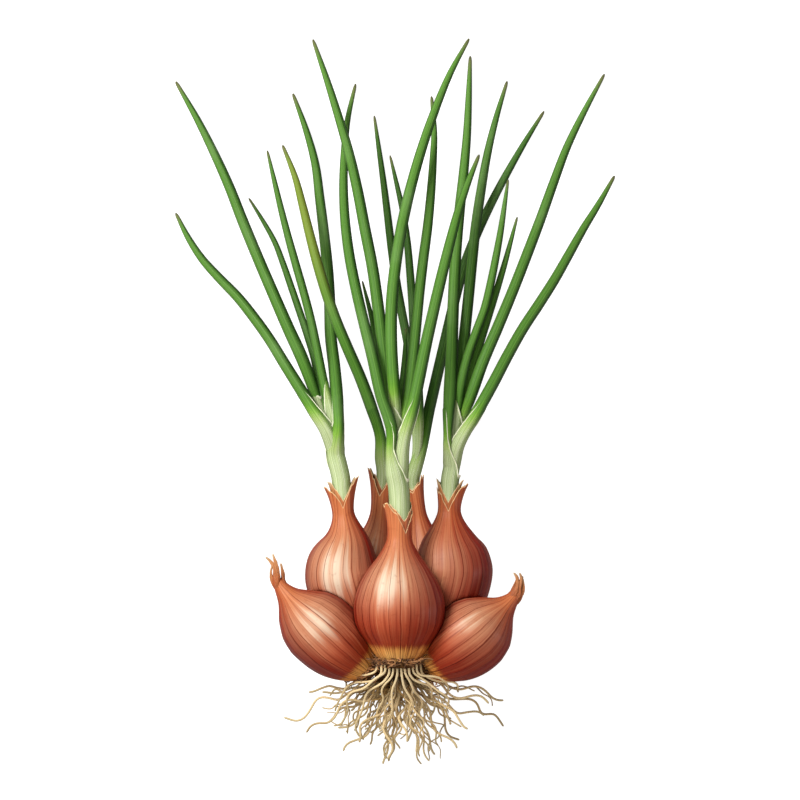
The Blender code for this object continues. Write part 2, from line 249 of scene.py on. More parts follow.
def lay_grain(piece, length, phase=None, tone=0.5):
    """Stores how a straight piece's surface runs: around it, along it, and its own shade.

    The map's U counts turns, or veins where phase gives them, and V is the share of the
    length. The grain attribute is the direction from the axis and the place along it.
    """
    mesh = piece.data
    phase = phase or (lambda angle: angle / tau)
    layer = mesh.uv_layers.new(name="lay")
    places = [v.co.copy() for v in mesh.vertices]
    for face in mesh.polygons:
        middle = angle_round(face.center)
        for corner in face.loop_indices:
            co = places[mesh.loops[corner].vertex_index]
            if hypot(co.y, co.z) < 1e-4:
                angle = middle
            else:
                turn = angle_round(co) - middle
                angle = middle + (turn + pi) % tau - pi
            layer.data[corner].uv = (phase(angle), co.x / length)
    grain = mesh.attributes.new("grain", "FLOAT_VECTOR", "POINT")
    for item, co in zip(grain.data, places):
        angle = angle_round(co)
        item.vector = (cos(angle), sin(angle), co.x)
    set_tone(piece, tone)


def store(piece, name, values):
    """Keeps a number for each point of a piece, for its finish to read."""
    kept = piece.data.attributes.get(name) or piece.data.attributes.new(name, "FLOAT", "POINT")
    for item, value in zip(kept.data, values):
        item.value = value


def set_tone(piece, tone):
    store(piece, "tone", [tone] * len(piece.data.vertices))


def stretch_grain(piece, length):
    """Gives a copy of a unit-length piece its grain's real length."""
    for item in piece.data.attributes["grain"].data:
        item.vector.z *= length


def settle(piece, material, slot, *nodes):
    """Places a finished piece in the frame, gives it its finish and hides the CAD parts it stands
    for.
    """
    piece.data.transform(Matrix.Translation(SHIFT * MM) @ Matrix.Scale(MM, 4))
    piece.data.materials.clear()
    piece.data.materials.append(material)
    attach(piece, BODY)
    if nodes:
        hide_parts(*nodes)
    return piece


def joined(pieces, name):
    pick(*pieces)
    bpy.ops.object.join()
    whole = bpy.context.object
    whole.name = whole.data.name = name
    return whole


# ---------------------------------------------------------------- what the frame gives

def flat_regions(work):
    """The sets of faces that lie in one plane and touch."""
    left = set(work.faces)
    while left:
        first = left.pop()
        region, edge_of = {first}, [first]
        while edge_of:
            face = edge_of.pop()
            for edge in face.edges:
                for other in edge.link_faces:
                    if other in left and other.normal.dot(first.normal) > 0.9999:
                        left.discard(other)
                        region.add(other)
                        edge_of.append(other)
        yield region


def middle_line(name, sides):
    """A CAD tube's middle line from its crown end to its far end, with its radii."""
    work = bmesh.new()
    work.from_mesh(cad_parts[name].data)
    bmesh.ops.remove_doubles(work, verts=work.verts, dist=0.02 * MM)
    middle = CROWN_CENTRE + SHIFT
    caps = []
    for region in flat_regions(work):
        ring = {v for face in region for v in face.verts}
        if len(ring) == sides and len(region) == sides - 2:
            centre = sum((v.co for v in ring), Vector()) / len(ring) / MM
            caps.append(((centre - middle).length, ring))
    ring = max(caps, key=lambda cap: cap[0])[1]
    done, line = set(ring), []
    while ring:
        centre = sum((v.co for v in ring), Vector()) / len(ring)
        radius = sum((v.co - centre).length for v in ring) / len(ring) / MM
        line.append(Vector((*(centre / MM - SHIFT), radius)))
        ring = {edge.other_vert(v) for v in ring for edge in v.link_edges} - done
        done |= ring
    work.free()
    return line[::-1]


# ---------------------------------------------------------------- finishes

def srgb(red, green, blue):
    """A colour given as it looks, 0 to 255, as the light values that a shader takes."""
    linear = []
    for value in (red, green, blue):
        share = value / 255
        linear.append(share / 12.92 if share <= 0.04045 else ((share + 0.055) / 1.055) ** 2.4)
    return (*linear, 1.0)


class Web:
    """A tree of shader nodes, and short ways to add to it. Colours are given as they look."""

    def __init__(self, tree):
        self.tree = tree

    def feed(self, socket, value):
        """Links a socket to another, or sets it to a number or a colour."""
        if isinstance(value, bpy.types.NodeSocket):
            self.tree.links.new(value, socket)
        else:
            socket.default_value = srgb(*value) if isinstance(value, tuple) else value

    def add(self, kind, inputs=None, **settings):
        made = self.tree.nodes.new(kind)
        for key, value in settings.items():
            setattr(made, key, value)
        for key, value in (inputs or {}).items():
            self.feed(made.inputs[key], value)
        return made

    def maths(self, operation, *values):
        return self.add("ShaderNodeMath", dict(enumerate(values)), operation=operation).outputs[0]

    def plus(self, *values):
        return self.maths("ADD", *values)

    def times(self, *values):
        return self.maths("MULTIPLY", *values)

    def ranged(self, value, low, high, to_low=0.0, to_high=1.0, kind="SMOOTHSTEP"):
        return self.add("ShaderNodeMapRange", {0: value, 1: low, 2: high, 3: to_low, 4: to_high},
                        interpolation_type=kind).outputs[0]

    def even(self, *values):
        return self.ranged(*values, "LINEAR")

    def mixed(self, share, first, second, blend_type="MIX"):
        return self.add("ShaderNodeMix", {0: share, 6: first, 7: second}, data_type="RGBA",
                        blend_type=blend_type, clamp_factor=True).outputs[2]

    def tinted(self, colour, tint, value, low, high, to_low=0.0, to_high=1.0):
        """A colour with another over it, as strong as a value makes it."""
        return self.mixed(self.ranged(value, low, high, to_low, to_high), colour, tint)

    def ramp(self, value, *stops):
        """Colours that follow each other; a stop is a place and a colour."""
        made = self.add("ShaderNodeValToRGB", {0: value})
        row = made.color_ramp
        while len(row.elements) < len(stops):
            row.elements.new(0.5)
        for element, (place, *colour) in zip(row.elements, stops):
            element.position, element.color = place, srgb(*colour)
        return made.outputs[0]

    def placed(self, name, **inputs):
        return self.add("ShaderNodeGroup", inputs, node_tree=bpy.data.node_groups[name]).outputs

    def streaks(self, around, along, seed=0.0, rough=0.5):
        return self.placed("lengthwise_grain", Around=around, Along=along, Seed=seed,
                           Rough=rough)[0]

    def blotches(self, size, rough=0.6):
        return self.placed("speckle", Size=size, Rough=rough)[0]

    def split(self, vector):
        return self.add("ShaderNodeSeparateXYZ", {0: vector}).outputs

    def lay(self):
        """How many veins or turns round a piece, and which share of its length."""
        return self.split(self.add("ShaderNodeUVMap", uv_map="lay").outputs[0])

    def value_of(self, name):
        return self.add("ShaderNodeAttribute", attribute_name=name).outputs["Fac"]


def new_group(name, outputs, **inputs):
    """A group of nodes, with what is fed to it and what it gives."""
    tree = bpy.data.node_groups.new(name, "ShaderNodeTree")
    for label, value in inputs.items():
        socket = tree.interface.new_socket(label, in_out="INPUT", socket_type="NodeSocketFloat")
        socket.default_value = value
    for label in outputs:
        tree.interface.new_socket(label, in_out="OUTPUT", socket_type="NodeSocketFloat")
    given, result = tree.nodes.new("NodeGroupInput"), tree.nodes.new("NodeGroupOutput")
    return Web(tree), given.outputs, result.inputs


def grain_group():
    """Streaks that run along a piece, as fine and as long as its inputs say."""
    web, given, result = new_group("lengthwise_grain", ["Streak"], Around=8.0, Along=0.04,
                                   Seed=0.0, Rough=0.5)
    grain = web.split(web.add("ShaderNodeAttribute", attribute_name="grain").outputs["Vector"])
    scales = given["Around"], given["Around"], given["Along"]
    place = web.add("ShaderNodeCombineXYZ", {i: web.times(grain[i], scales[i]) for i in range(3)})
    streak = web.add("ShaderNodeTexNoise",
                     {"Vector": place.outputs[0], "W": given["Seed"], "Scale": 1.0, "Detail": 3.0,
                      "Roughness": given["Rough"]}, noise_dimensions="4D")
    web.feed(result["Streak"], streak.outputs[0])


def vein_group():
    """Thin lines along a skin at each whole count round it, each as strong as chance has it."""
    web, given, result = new_group("skin_veins", ["Vein"], Count=24.0, Width=0.12, Wander=0.35)
    sway = web.times(web.maths("SUBTRACT", web.streaks(2.5, 0.05), 0.5), given["Wander"])
    count = web.maths("FLOORED_MODULO", web.plus(web.lay()[0], sway), given["Count"])
    reach = web.maths("ABSOLUTE", web.maths("SUBTRACT", web.maths("FRACT", count), 0.5))
    reach = web.times(reach, 2.0)
    which = web.add("ShaderNodeTexWhiteNoise", {"W": web.maths("FLOOR", count)},
                    noise_dimensions="1D")
    strength = web.even(which.outputs[0], 0.0, 1.0, 0.35, 1.0)
    line = web.ranged(reach, 0.0, web.times(given["Width"], strength), 1.0, 0.0)
    web.feed(result["Vein"], web.times(line, strength))


def speckle_group():
    """Small blotches, at a size given in millimetres."""
    web, given, result = new_group("speckle", ["Blotch"], Size=1.0, Rough=0.6)
    place = web.add("ShaderNodeTexCoord").outputs["Object"]
    blotch = web.add("ShaderNodeTexNoise",
                     {"Vector": place, "Scale": web.maths("DIVIDE", 1.0 / MM, given["Size"]),
                      "Detail": 4.0, "Roughness": given["Rough"]})
    web.feed(result["Blotch"], blotch.outputs[0])


def stripe_group():
    """Broad and fine stripes that run along a leaf or a sheath."""
    web, given, result = new_group("leaf_stripes", ["Stripe", "Fine"], Across=9.0, Along=0.008)
    for label, factor, seed in (("Stripe", 1.0, 1.0), ("Fine", 3.3, 6.0)):
        around = web.times(given["Across"], factor)
        web.feed(result[label], web.streaks(around, given["Along"], seed, 0.55))


class Finish(Web):
    """A material, with the values of its shader that are the same all over."""

    def __init__(self, name, **constants):
        self.material = bpy.data.materials.new(name)
        self.material.use_nodes = True
        super().__init__(self.material.node_tree)
        self.shader = self.tree.nodes["Principled BSDF"].inputs
        for key, value in constants.items():
            self.shader[key.replace("_", " ")].default_value = value

    def done(self, colour, roughness, height=None, strength=0.0, depth=0.0):
        """The material, with what changes over its surface; bumps have a strength and a depth."""
        self.feed(self.shader["Base Color"], colour)
        self.feed(self.shader["Roughness"], roughness)
        if height is not None:
            bump = self.add("ShaderNodeBump", {"Strength": strength, "Distance": depth * MM,
                                               "Height": height})
            self.feed(self.shader["Normal"], bump.outputs[0])
        return self.material


def skin_finish(name, count, lift=0.0):
    """Thin papery copper skin with painted light: cream and a painted highlight on its lit side,
    dark red painted shade on the other; dark veins, a gold fringe at the base.
    """
    web = Finish(name, Specular_IOR_Level=0.12, Coat_Weight=0.13, Coat_Roughness=0.34)
    along = web.lay()[1]
    veins = web.placed("skin_veins", Count=float(count), Width=0.19, Wander=0.55)[0]
    band = web.streaks(6.0, 0.012, 7.0)
    fine = web.streaks(26.0, 0.04, 11.0, 0.6)
    hair = web.streaks(60.0, 0.06, 15.0, 0.6)
    jagged = web.plus(web.plus(along, lift), web.even(hair, 0.3, 0.7, -0.022, 0.022))
    # Lit and shaded copies of the copper: the painted shade ramp for the far side, the painted lit
    # ramp for the lit side
    painted_shade_ramp = web.ramp(jagged, (0.02, 222, 146, 70), (0.10, 214, 132, 58), (0.132, 134, 34, 16),
                    (0.30, 122, 15, 5), (0.55, 130, 18, 7), (0.75, 152, 38, 13),
                    (0.90, 176, 76, 38), (1.0, 182, 92, 52))
    painted_lit_copper = web.ramp(jagged, (0.02, 252, 206, 126), (0.10, 250, 192, 108), (0.135, 186, 78, 42),
                     (0.28, 200, 100, 66), (0.46, 212, 140, 104), (0.62, 220, 160, 122),
                     (0.80, 230, 150, 98), (1.0, 226, 148, 98))
    # share of painted light, broken up by broad streaks
    share = web.plus(web.value_of("sun"), web.even(band, 0.32, 0.68, 0.20, -0.20))
    colour = web.mixed(share, painted_shade_ramp, painted_lit_copper)
    darker = web.mixed(1.0, colour, (178, 130, 116), "MULTIPLY")
    lighter = web.mixed(0.30, colour, (244, 196, 144))
    colour = web.tinted(colour, darker, fine, 0.50, 0.68, 0.0, 0.55)
    # pale streaks, partly real and made stronger where the painted light is
    pale_streak = web.times(web.ranged(fine, 0.30, 0.46, 0.55, 0.0),
                            web.ranged(share, 0.1, 0.7, 0.15, 1.0))
    colour = web.mixed(pale_streak, colour, lighter)
    # painted highlight: a cream patch on the upper middle of the skin where the painted light is
    # strongest
    painted_highlight = web.times(web.ranged(share, 0.72, 1.12, 0.0, 0.85), web.ranged(along, 0.22, 0.5))
    colour = web.mixed(painted_highlight, colour, (236, 220, 196))
    near_base = web.ranged(along, 0.10, 0.15, 1.0, 0.0)
    burnt = web.times(web.ranged(hair, 0.50, 0.60), near_base)
    colour = web.mixed(web.times(burnt, 0.7), colour, (112, 54, 20))
    vein_tint = web.mixed(1.0, colour, (150, 76, 54), "MULTIPLY")
    colour = web.mixed(web.times(veins, 0.95), colour, vein_tint)
    colour = web.tinted(colour, darker, web.blotches(2.6), 0.55, 0.75, 0.0, 0.25)
    # painted shade: a low tone darkens the skin towards dark brown; every bulb is given full tone
    colour = web.mixed(web.even(web.value_of("tone"), 0.0, 1.0, 0.55, 0.0), colour, (96, 40, 34))
    # painted shade inside the neck, on the inner face of the skin
    colour = web.tinted(colour, (96, 44, 24), web.value_of("inner"), 0.3, 0.9, 0.0, 0.85)
    # pale torn edge, with a painted highlight along the rim
    colour = web.tinted(colour, (244, 204, 152), web.value_of("rim"), 0.35, 0.75, 0.0, 0.9)
    rough = web.plus(web.even(fine, 0.3, 0.7, 0.40, 0.52), web.times(near_base, 0.15))
    height = web.plus(web.times(veins, 0.55), web.times(fine, 0.30))
    return web.done(colour, rough, height, 0.35, 0.25)


def paper_finish():
    """Dry torn skin at the necks: tan and orange, ribbed, with dark creases, pale edges with a
    painted highlight, and painted shade inside and on the back necks.
    """
    web = Finish("dry_skin", Coat_Weight=0.10, Coat_Roughness=0.4)
    band, fine = web.streaks(5.0, 0.05, 2.0), web.streaks(16.0, 0.10, 5.0, 0.6)
    colour = web.ramp(web.lay()[1], (0.0, 158, 70, 34), (0.5, 198, 110, 60), (0.85, 220, 152, 96),
                      (1.0, 236, 202, 156))
    colour = web.tinted(colour, (128, 54, 28), band, 0.50, 0.70, 0.0, 0.5)
    colour = web.tinted(colour, (88, 38, 20), fine, 0.54, 0.70, 0.0, 0.6)
    colour = web.tinted(colour, (232, 170, 110), fine, 0.24, 0.42, 0.6, 0.0)
    # a low tone darkens the skin: at random on the strands, painted shade on the back collars
    colour = web.mixed(web.even(web.value_of("tone"), 0.0, 1.0, 0.5, 0.0), colour, (104, 48, 36))
    # painted shade inside the neck
    colour = web.tinted(colour, (100, 46, 24), web.value_of("inner"), 0.3, 0.9, 0.0, 0.7)
    # pale torn edge, with a painted highlight along the rim
    colour = web.tinted(colour, (248, 214, 166), web.value_of("rim"), 0.3, 0.7, 0.0, 0.95)
    return web.done(colour, 0.55, web.plus(fine, band), 0.6, 0.4)


def shred_finish():
    """Curled brown shreds of old skin."""
    web = Finish("shred", Specular_IOR_Level=0.35)
    colour = web.mixed(web.value_of("tone"), (50, 26, 12), (226, 166, 112))
    colour = web.tinted(colour, (206, 142, 92), web.blotches(0.8), 0.45, 0.65, 0.0, 0.5)
    return web.done(colour, 0.6)


def growth_finish(name, edge):
    """Leaf and sheath: cream at the foot, green above it, lighter on the painted lit side and darker
    in painted shade, fine stripes and a waxy bloom.

    A sheath also has a pale rim with a painted highlight, where edge is set; a leaf's tip dries to
    olive and brown.
    """
    web = Finish(name, Specular_IOR_Level=0.2, Coat_Weight=0.03, Coat_Roughness=0.4)
    along, tone, green = web.lay()[1], web.value_of("tone"), web.value_of("green")
    stripe, fine = web.placed("leaf_stripes", Across=8.0, Along=0.008)
    bloom = web.blotches(26.0, 0.5)
    # Lit and shaded copies of the green: the painted lit ramp and the painted shade ramp
    painted_lit_green = web.ramp(green, (0.0, 198, 213, 162), (0.22, 182, 204, 124), (0.5, 142, 190, 70),
                     (0.75, 110, 166, 52), (1.0, 95, 148, 55))
    painted_shade_ramp = web.ramp(green, (0.0, 136, 162, 92), (0.3, 98, 138, 48), (0.6, 40, 94, 18),
                    (1.0, 14, 62, 8))
    # share of painted light; a low tone lowers it, painting the piece in shade
    share = web.times(web.value_of("sun"), web.even(tone, 0.0, 1.0, 0.45, 1.0))
    share = web.plus(share, web.even(stripe, 0.34, 0.66, 0.22, -0.22))
    colour = web.mixed(share, painted_shade_ramp, painted_lit_green)
    shaded = web.mixed(1.0, colour, (136, 164, 112), "MULTIPLY")
    pale_rib = web.mixed(0.75, colour, (250, 252, 230))
    lighter = web.mixed(0.35, colour, (190, 214, 132))
    foot = web.ranged(green, 0.0, 0.7, 1.0, 0.0)
    colour = web.tinted(colour, shaded, fine, 0.50, 0.64, 0.0, 0.7)
    colour = web.tinted(colour, lighter, fine, 0.34, 0.46, 0.5, 0.0)
    ribs = web.times(web.ranged(fine, 0.37, 0.46, 1.0, 0.0), foot)
    colour = web.mixed(ribs, colour, pale_rib)
    colour = web.tinted(colour, (140, 172, 116), bloom, 0.50, 0.75, 0.0, 0.22)
    if edge:
        # pale rim with a painted highlight along it
        colour = web.tinted(colour, (250, 252, 222), web.value_of("rim"), 0.25, 0.6, 0.0, 0.95)
    else:
        olive = web.times(web.ranged(tone, 1.0, 1.4), web.ranged(along, 0.4, 0.75))
        colour = web.mixed(web.times(olive, 0.5), colour, (146, 150, 50))
        dry = web.ramp(along, (0.94, 96, 124, 58), (0.985, 116, 116, 74), (1.0, 92, 78, 58))
        colour = web.mixed(web.times(web.ranged(along, 0.93, 1.0), 0.85), colour, dry)
    rough = web.even(bloom, 0.3, 0.7, 0.48, 0.60)
    return web.done(colour, rough, web.plus(stripe, fine), 0.35, 0.25)


def root_finish():
    """Dull cream to tan roots, browner where their tone is low, which paints shade deep in the tuft,
    with fine rings and specks of soil.
    """
    web = Finish("wiry_root", Specular_IOR_Level=0.35)
    along, grain = web.lay()[1], web.streaks(3.0, 0.35, 8.0, 0.6)
    pale = web.ramp(along, (0.0, 200, 160, 104), (0.07, 255, 232, 184), (0.5, 248, 222, 172),
                    (1.0, 206, 186, 140))
    brown = web.ramp(along, (0.0, 52, 34, 12), (0.25, 112, 80, 36), (0.7, 184, 150, 96),
                     (1.0, 174, 152, 108))
    # the tone, partly at random and partly painted shade, turns a root from pale to brown
    colour = web.mixed(web.value_of("tone"), brown, pale)
    colour = web.tinted(colour, (142, 110, 72), grain, 0.52, 0.74, 0.0, 0.35)
    colour = web.tinted(colour, (104, 74, 44), web.blotches(1.6), 0.60, 0.74, 0.0, 0.30)
    return web.done(colour, 0.72, grain, 0.5, 0.25)


def crown_finish():
    """Dark matted fibre at the crown."""
    web = Finish("crown_fibre", Specular_IOR_Level=0.25)
    mat = web.blotches(1.6, 0.7)
    colour = web.ramp(mat, (0.32, 34, 20, 10), (0.5, 74, 46, 22), (0.66, 124, 84, 44))
    return web.done(colour, 0.85, mat, 0.8, 0.8)


# ---------------------------------------------------------------- bulbs

def axis_of(key):
    return smooth_line([Vector(point) for point in BULBS[key][2]], 81)


def point_at(line, distance):
    """The place on a line at a distance from its start, and past its ends straight on."""
    step = length_of(line) / (len(line) - 1)
    i = min(max(int(distance / step), 0), len(line) - 2)
    return line[i].xyz + (line[i + 1] - line[i]).xyz * (distance / step - i)


# Necks: depth of the split, its direction round the neck in degrees (0 left, 90 towards the
# front, 180 right), how far the left and the right lobe rise above the rim, and lean out
NECKS = {
    "front": (10.8, 122, 0.4, -1.0, 1.9, 0.5),
    "left": (10.2, 92, -1.6, 1.6, 4.2, 1.9),
    "right": (11.4, 86, -2.6, -0.6, 1.6, 3.4),
    "back_left": (8.6, 78, 1.6, -1.8, 1.9, 0.8),
    "back_right": (5.4, 80, -3.4, 0.2, 0.6, 1.5),
}
NECK_RADIUS = {"front": 4.8, "left": 4.3, "right": 4.2, "back_left": 3.8, "back_right": 3.4}
SPLIT_HALF = radians(72)
BULB_ROWS = 84
# How much sooner the gold at a base ends, as a share of the length
GOLD_LIFT = {"front": 0.02}
# How far up its axis each bulb's skin starts, above the fibrous plate that it grows from
BASE_START = {"front": 0.6, "outer_left": 1.4, "outer_right": 1.2, "left": 1.0, "right": 1.0,
              "back_left": 1.0, "back_right": 1.0}
COLUMNS_PER_VEIN = 6
NECK_FROM = 0.78                # share of the length at which the neck starts to open
NECK_WALL = 0.28
# The painted lit side of a bulb, its palest, round its axis as in NECKS, how far round the
# painted light spreads, and how strong it is up the bulb; away from it the skin shows painted shade
PAINTED_LIGHT_SIDE = {"outer_left": 96, "outer_right": 70, "right": 62}
PAINTED_LIGHT_STRENGTH = {"right": 0.64, "outer_right": 0.80, "outer_left": 0.95, "back_right": 0.8}
PAINTED_LIGHT_SIDE_OF_REST, PAINTED_LIGHT_HALF = 74, radians(88)
PAINTED_LIGHT_HEIGHT = ((0.0, 0.8), (0.10, 0.45), (0.22, 0.50), (0.38, 0.82), (0.52, 1.0),
              (0.64, 0.82), (0.78, 0.62), (1.0, 0.55))


def sunlit(away, spread):
    """How much painted light a side has, from 1 on the painted lit side to 0 at a spread of angle
    away.
    """
    return 0.5 + 0.5 * cos(pi * min(away / spread, 1.0))


def radius_at(key, length, place):
    """A bulb's radius at a distance up its axis."""
    radius, belly, _ = BULBS[key]
    upper = DRY_UPPER if key in DRY_BULBS else BULB_UPPER
    lower = DRY_LOWER if key in DRY_BULBS else FRONT_LOWER if key == "front" else BULB_LOWER
    table = [(share * belly, out) for share, out in lower]
    table += [(belly + share * (1.0 - belly), out) for share, out in upper]
    out = radius * eased(table, place / length)
    if key in NECKS and place > belly * length:
        out = (out ** 6 + NECK_RADIUS[key] ** 6) ** (1 / 6)
    return out


def bulb_outline(key, length):
    start = BASE_START[key]
    edge = radius_at(key, length, start)
    outline = [(start - 1.0, 0.0), (start - 0.9, edge * 0.45), (start - 0.6, edge * 0.80)]
    for i in range(BULB_ROWS + 1):
        place = start + (length - start) * i / BULB_ROWS
        drawn_in = 1 - 0.07 * max(0.0, 1 - i / 4) ** 2
        outline.append((place, radius_at(key, length, place) * drawn_in))
    if key in NECKS:
        outline += [(length - i * 1.5, radius_at(key, length, length - i * 1.5) - NECK_WALL)
                    for i in range(10)]
        outline.append((length - 15, 0.0))
    else:
        outline.append((length + 0.3, 0.0))
    return outline


def vein_phase(key):
    """Counts veins round a bulb, unevenly spaced; the same number after each whole turn."""
    count = VEINS[key]
    chance = random.Random(key)
    waves = [(n, chance.uniform(-0.5, 0.5), chance.uniform(0, tau)) for n in (2, 3, 5, 7)]

    def phase(angle):
        drift = sum(size / n * sin(n * angle + start) for n, size, start in waves)
        return count * angle / tau + 1.3 * drift

    return phase


def off_split(angle, direction):
    """How far round a neck an angle is from the nearer end of its split."""
    middle = radians(direction)
    return min(apart(angle, middle), apart(angle, middle + pi))


def open_neck(piece, key, length):
    """Tears a neck's rim into two lobes that lean out; keeps how near the rim each point is."""
    depth, direction, rise_left, rise_right, lean_left, lean_right = NECKS[key]
    start = NECK_FROM * length
    near_rim, inside = [], []
    for v in piece.data.vertices:
        radius = hypot(v.co.y, v.co.z)
        thin = radius < radius_at(key, length, v.co.x) - NECK_WALL * 0.6
        inside.append(float(thin and v.co.x > start * 0.9))
        if v.co.x <= start or radius < 0.5:
            near_rim.append(0.0)
            continue
        angle = angle_round(v.co)
        left = 0.5 + 0.5 * cos(angle)
        rise = rise_left * left + rise_right * (1 - left)
        lean = lean_left * left + lean_right * (1 - left)
        split = max(1.0 - off_split(angle, direction) / SPLIT_HALF, 0.0) ** 1.25
        uneven = ragged(angle, 3.4, len(key)) * 1.5
        uneven += ragged(angle, 9, len(key)) * 0.8
        rim = length + rise * (1 - split) - depth * split + uneven * (1 - split)
        place = start + (v.co.x - start) / (length - start) * (rim - start)
        flare = max(place - start, 0.0) / (length - start)
        out = radius_at(key, length, min(place, length)) - NECK_WALL * inside[-1]
        out += lean * (1 - split) ** 1.3 * flare ** 2.4
        put(v, place, out * (1 + 0.05 * flare * sin(5 * angle + len(key))), angle)
        near_rim.append(max(0.0, 1.0 - (rim - place) / 0.9))
    store(piece, "rim", near_rim)
    store(piece, "inner", inside)


def shape_skin(piece, key, phase, length):
    """Low ribs along the veins, the slight unevenness of a grown bulb, and its painted lit side."""
    radius = BULBS[key][0]
    seed = Vector((len(key) * 3.7, 11.0, sum(map(ord, key)) * 0.13))
    side = radians(PAINTED_LIGHT_SIDE.get(key, PAINTED_LIGHT_SIDE_OF_REST))
    sun = []
    for v in piece.data.vertices:
        angle = angle_round(v.co)
        # painted light: strongest on one side and at the height of the painted highlight
        pale = PAINTED_LIGHT_STRENGTH.get(key, 1.0) * sunlit(apart(angle, side), PAINTED_LIGHT_HALF)
        sun.append(pale * eased(PAINTED_LIGHT_HEIGHT, min(max(v.co.x / length, 0.0), 1.0)))
        if v.co.x <= 0:
            continue
        lump = noise.noise(v.co * 0.045 + seed) * 0.030 + noise.noise(v.co * 0.13 + seed) * 0.012
        rib = cos(tau * (phase(angle) - 0.5))
        out = hypot(v.co.y, v.co.z) * (1 + lump * min(1.0, v.co.x / 6))
        put(v, v.co.x, out + 0.09 * rib * min(1.0, out / radius * 1.5), angle)
    store(piece, "sun", sun)


def press(piece, along, line, neighbours):
    """Flattens a bulb where a neighbour leans on it, leaving the gap between touching skins."""
    for v, distance in zip(piece.data.vertices, along):
        centre = point_at(line, distance)
        for tree in neighbours:
            out = v.co - centre
            reach = out.length
            if reach < 0.5:
                continue
            out /= reach
            place, normal, _, far = tree.ray_cast(centre, out, reach + GAP)
            if place is not None and normal.dot(out) < 0:
                v.co = centre + out * max(far - GAP, 0.2)


def tree_of(piece):
    mesh = piece.data
    return BVHTree.FromPolygons([v.co.copy() for v in mesh.vertices],
                                [tuple(face.vertices) for face in mesh.polygons])


def add_bulbs(finishes):
    neighbours = []
    for key in PRESS_ORDER:
        line = axis_of(key)
        length = length_of(line)
        piece = turned("bulb_skin_" + key, bulb_outline(key, length), VEINS[key] * COLUMNS_PER_VEIN)
        phase = vein_phase(key)
        if key in NECKS:
            open_neck(piece, key, length)
        lay_grain(piece, length, phase, 1.0)
        shape_skin(piece, key, phase, length)
        along = [v.co.x for v in piece.data.vertices]
        bend(piece, line, False)
        press(piece, along, line, neighbours)
        for v in piece.data.vertices:
            v.co.z = min(max(v.co.z, 0.0), cad_high.z / MM - 0.1)
        neighbours.append(tree_of(piece))
        settle(piece, finishes[key], "bulb_skin", "bulb_" + key)


# An inner skin inside each neck: how far below and above the neck's own rim its split and its
# lobes reach, the split's direction, and how far the lobes lean out
COLLAR_ROWS, COLLAR_SPLIT_HALF = 30, radians(70)
COLLARS = {
    "front": (-6.2, 0.6, 118, 0.7), "left": (-7.5, 0.8, 96, 1.4), "right": (-8.0, 0.9, 84, 1.3),
    "back_left": (-6.0, 0.0, 90, 0.6), "back_right": (-4.5, -0.5, 80, 0.5),
}


def add_collar(key, shaft, finish):
    """The next skin in, standing a little inside the torn neck."""
    foot, crest, direction, lean = COLLARS[key]
    line = drawn([place.xyz for place in shaft], 60)
    neck = distance_at(line, BULBS[key][2][-1][1])
    start = neck + foot - 5.0
    outline = [(start + (neck - start) * i / COLLAR_ROWS, 1.0) for i in range(COLLAR_ROWS + 1)]
    outline += [(neck - (neck - start) * i / 12, 0.9) for i in range(13)]
    piece = turned("inner_skin_" + key, outline, 60)
    near_rim, inside = [], []
    for v in piece.data.vertices:
        angle = angle_round(v.co)
        inside.append(float(hypot(v.co.y, v.co.z) < 0.95))
        t = (v.co.x - start) / (neck - start)
        lobe = min(off_split(angle, direction) / COLLAR_SPLIT_HALF, 1.0)
        rim = neck + foot + (crest - foot) * lobe + ragged(angle, 4, neck) * 1.2 * lobe
        place = start + t * (rim - start)
        flare = max(place - start, 0.0) / (neck - start)
        out = SHEATHS[key][0][1] + 0.26 + lean * lobe ** 1.3 * flare ** 3 - 0.16 * inside[-1]
        out *= 1 + 0.02 * cos(9 * angle + neck)
        put(v, place, out - 0.5 * max(0.0, 1 - t / 0.4), angle)
        near_rim.append(max(0.0, 1.0 - (rim - place) / 0.7))
    # the back collars get a low tone, which paints them in shade
    lay_grain(piece, neck, tone=0.4 if key.startswith("back") else 0.9)
    store(piece, "rim", near_rim)
    store(piece, "inner", inside)
    bend(piece, line, False)
    settle(piece, finish, "bulb_skin")


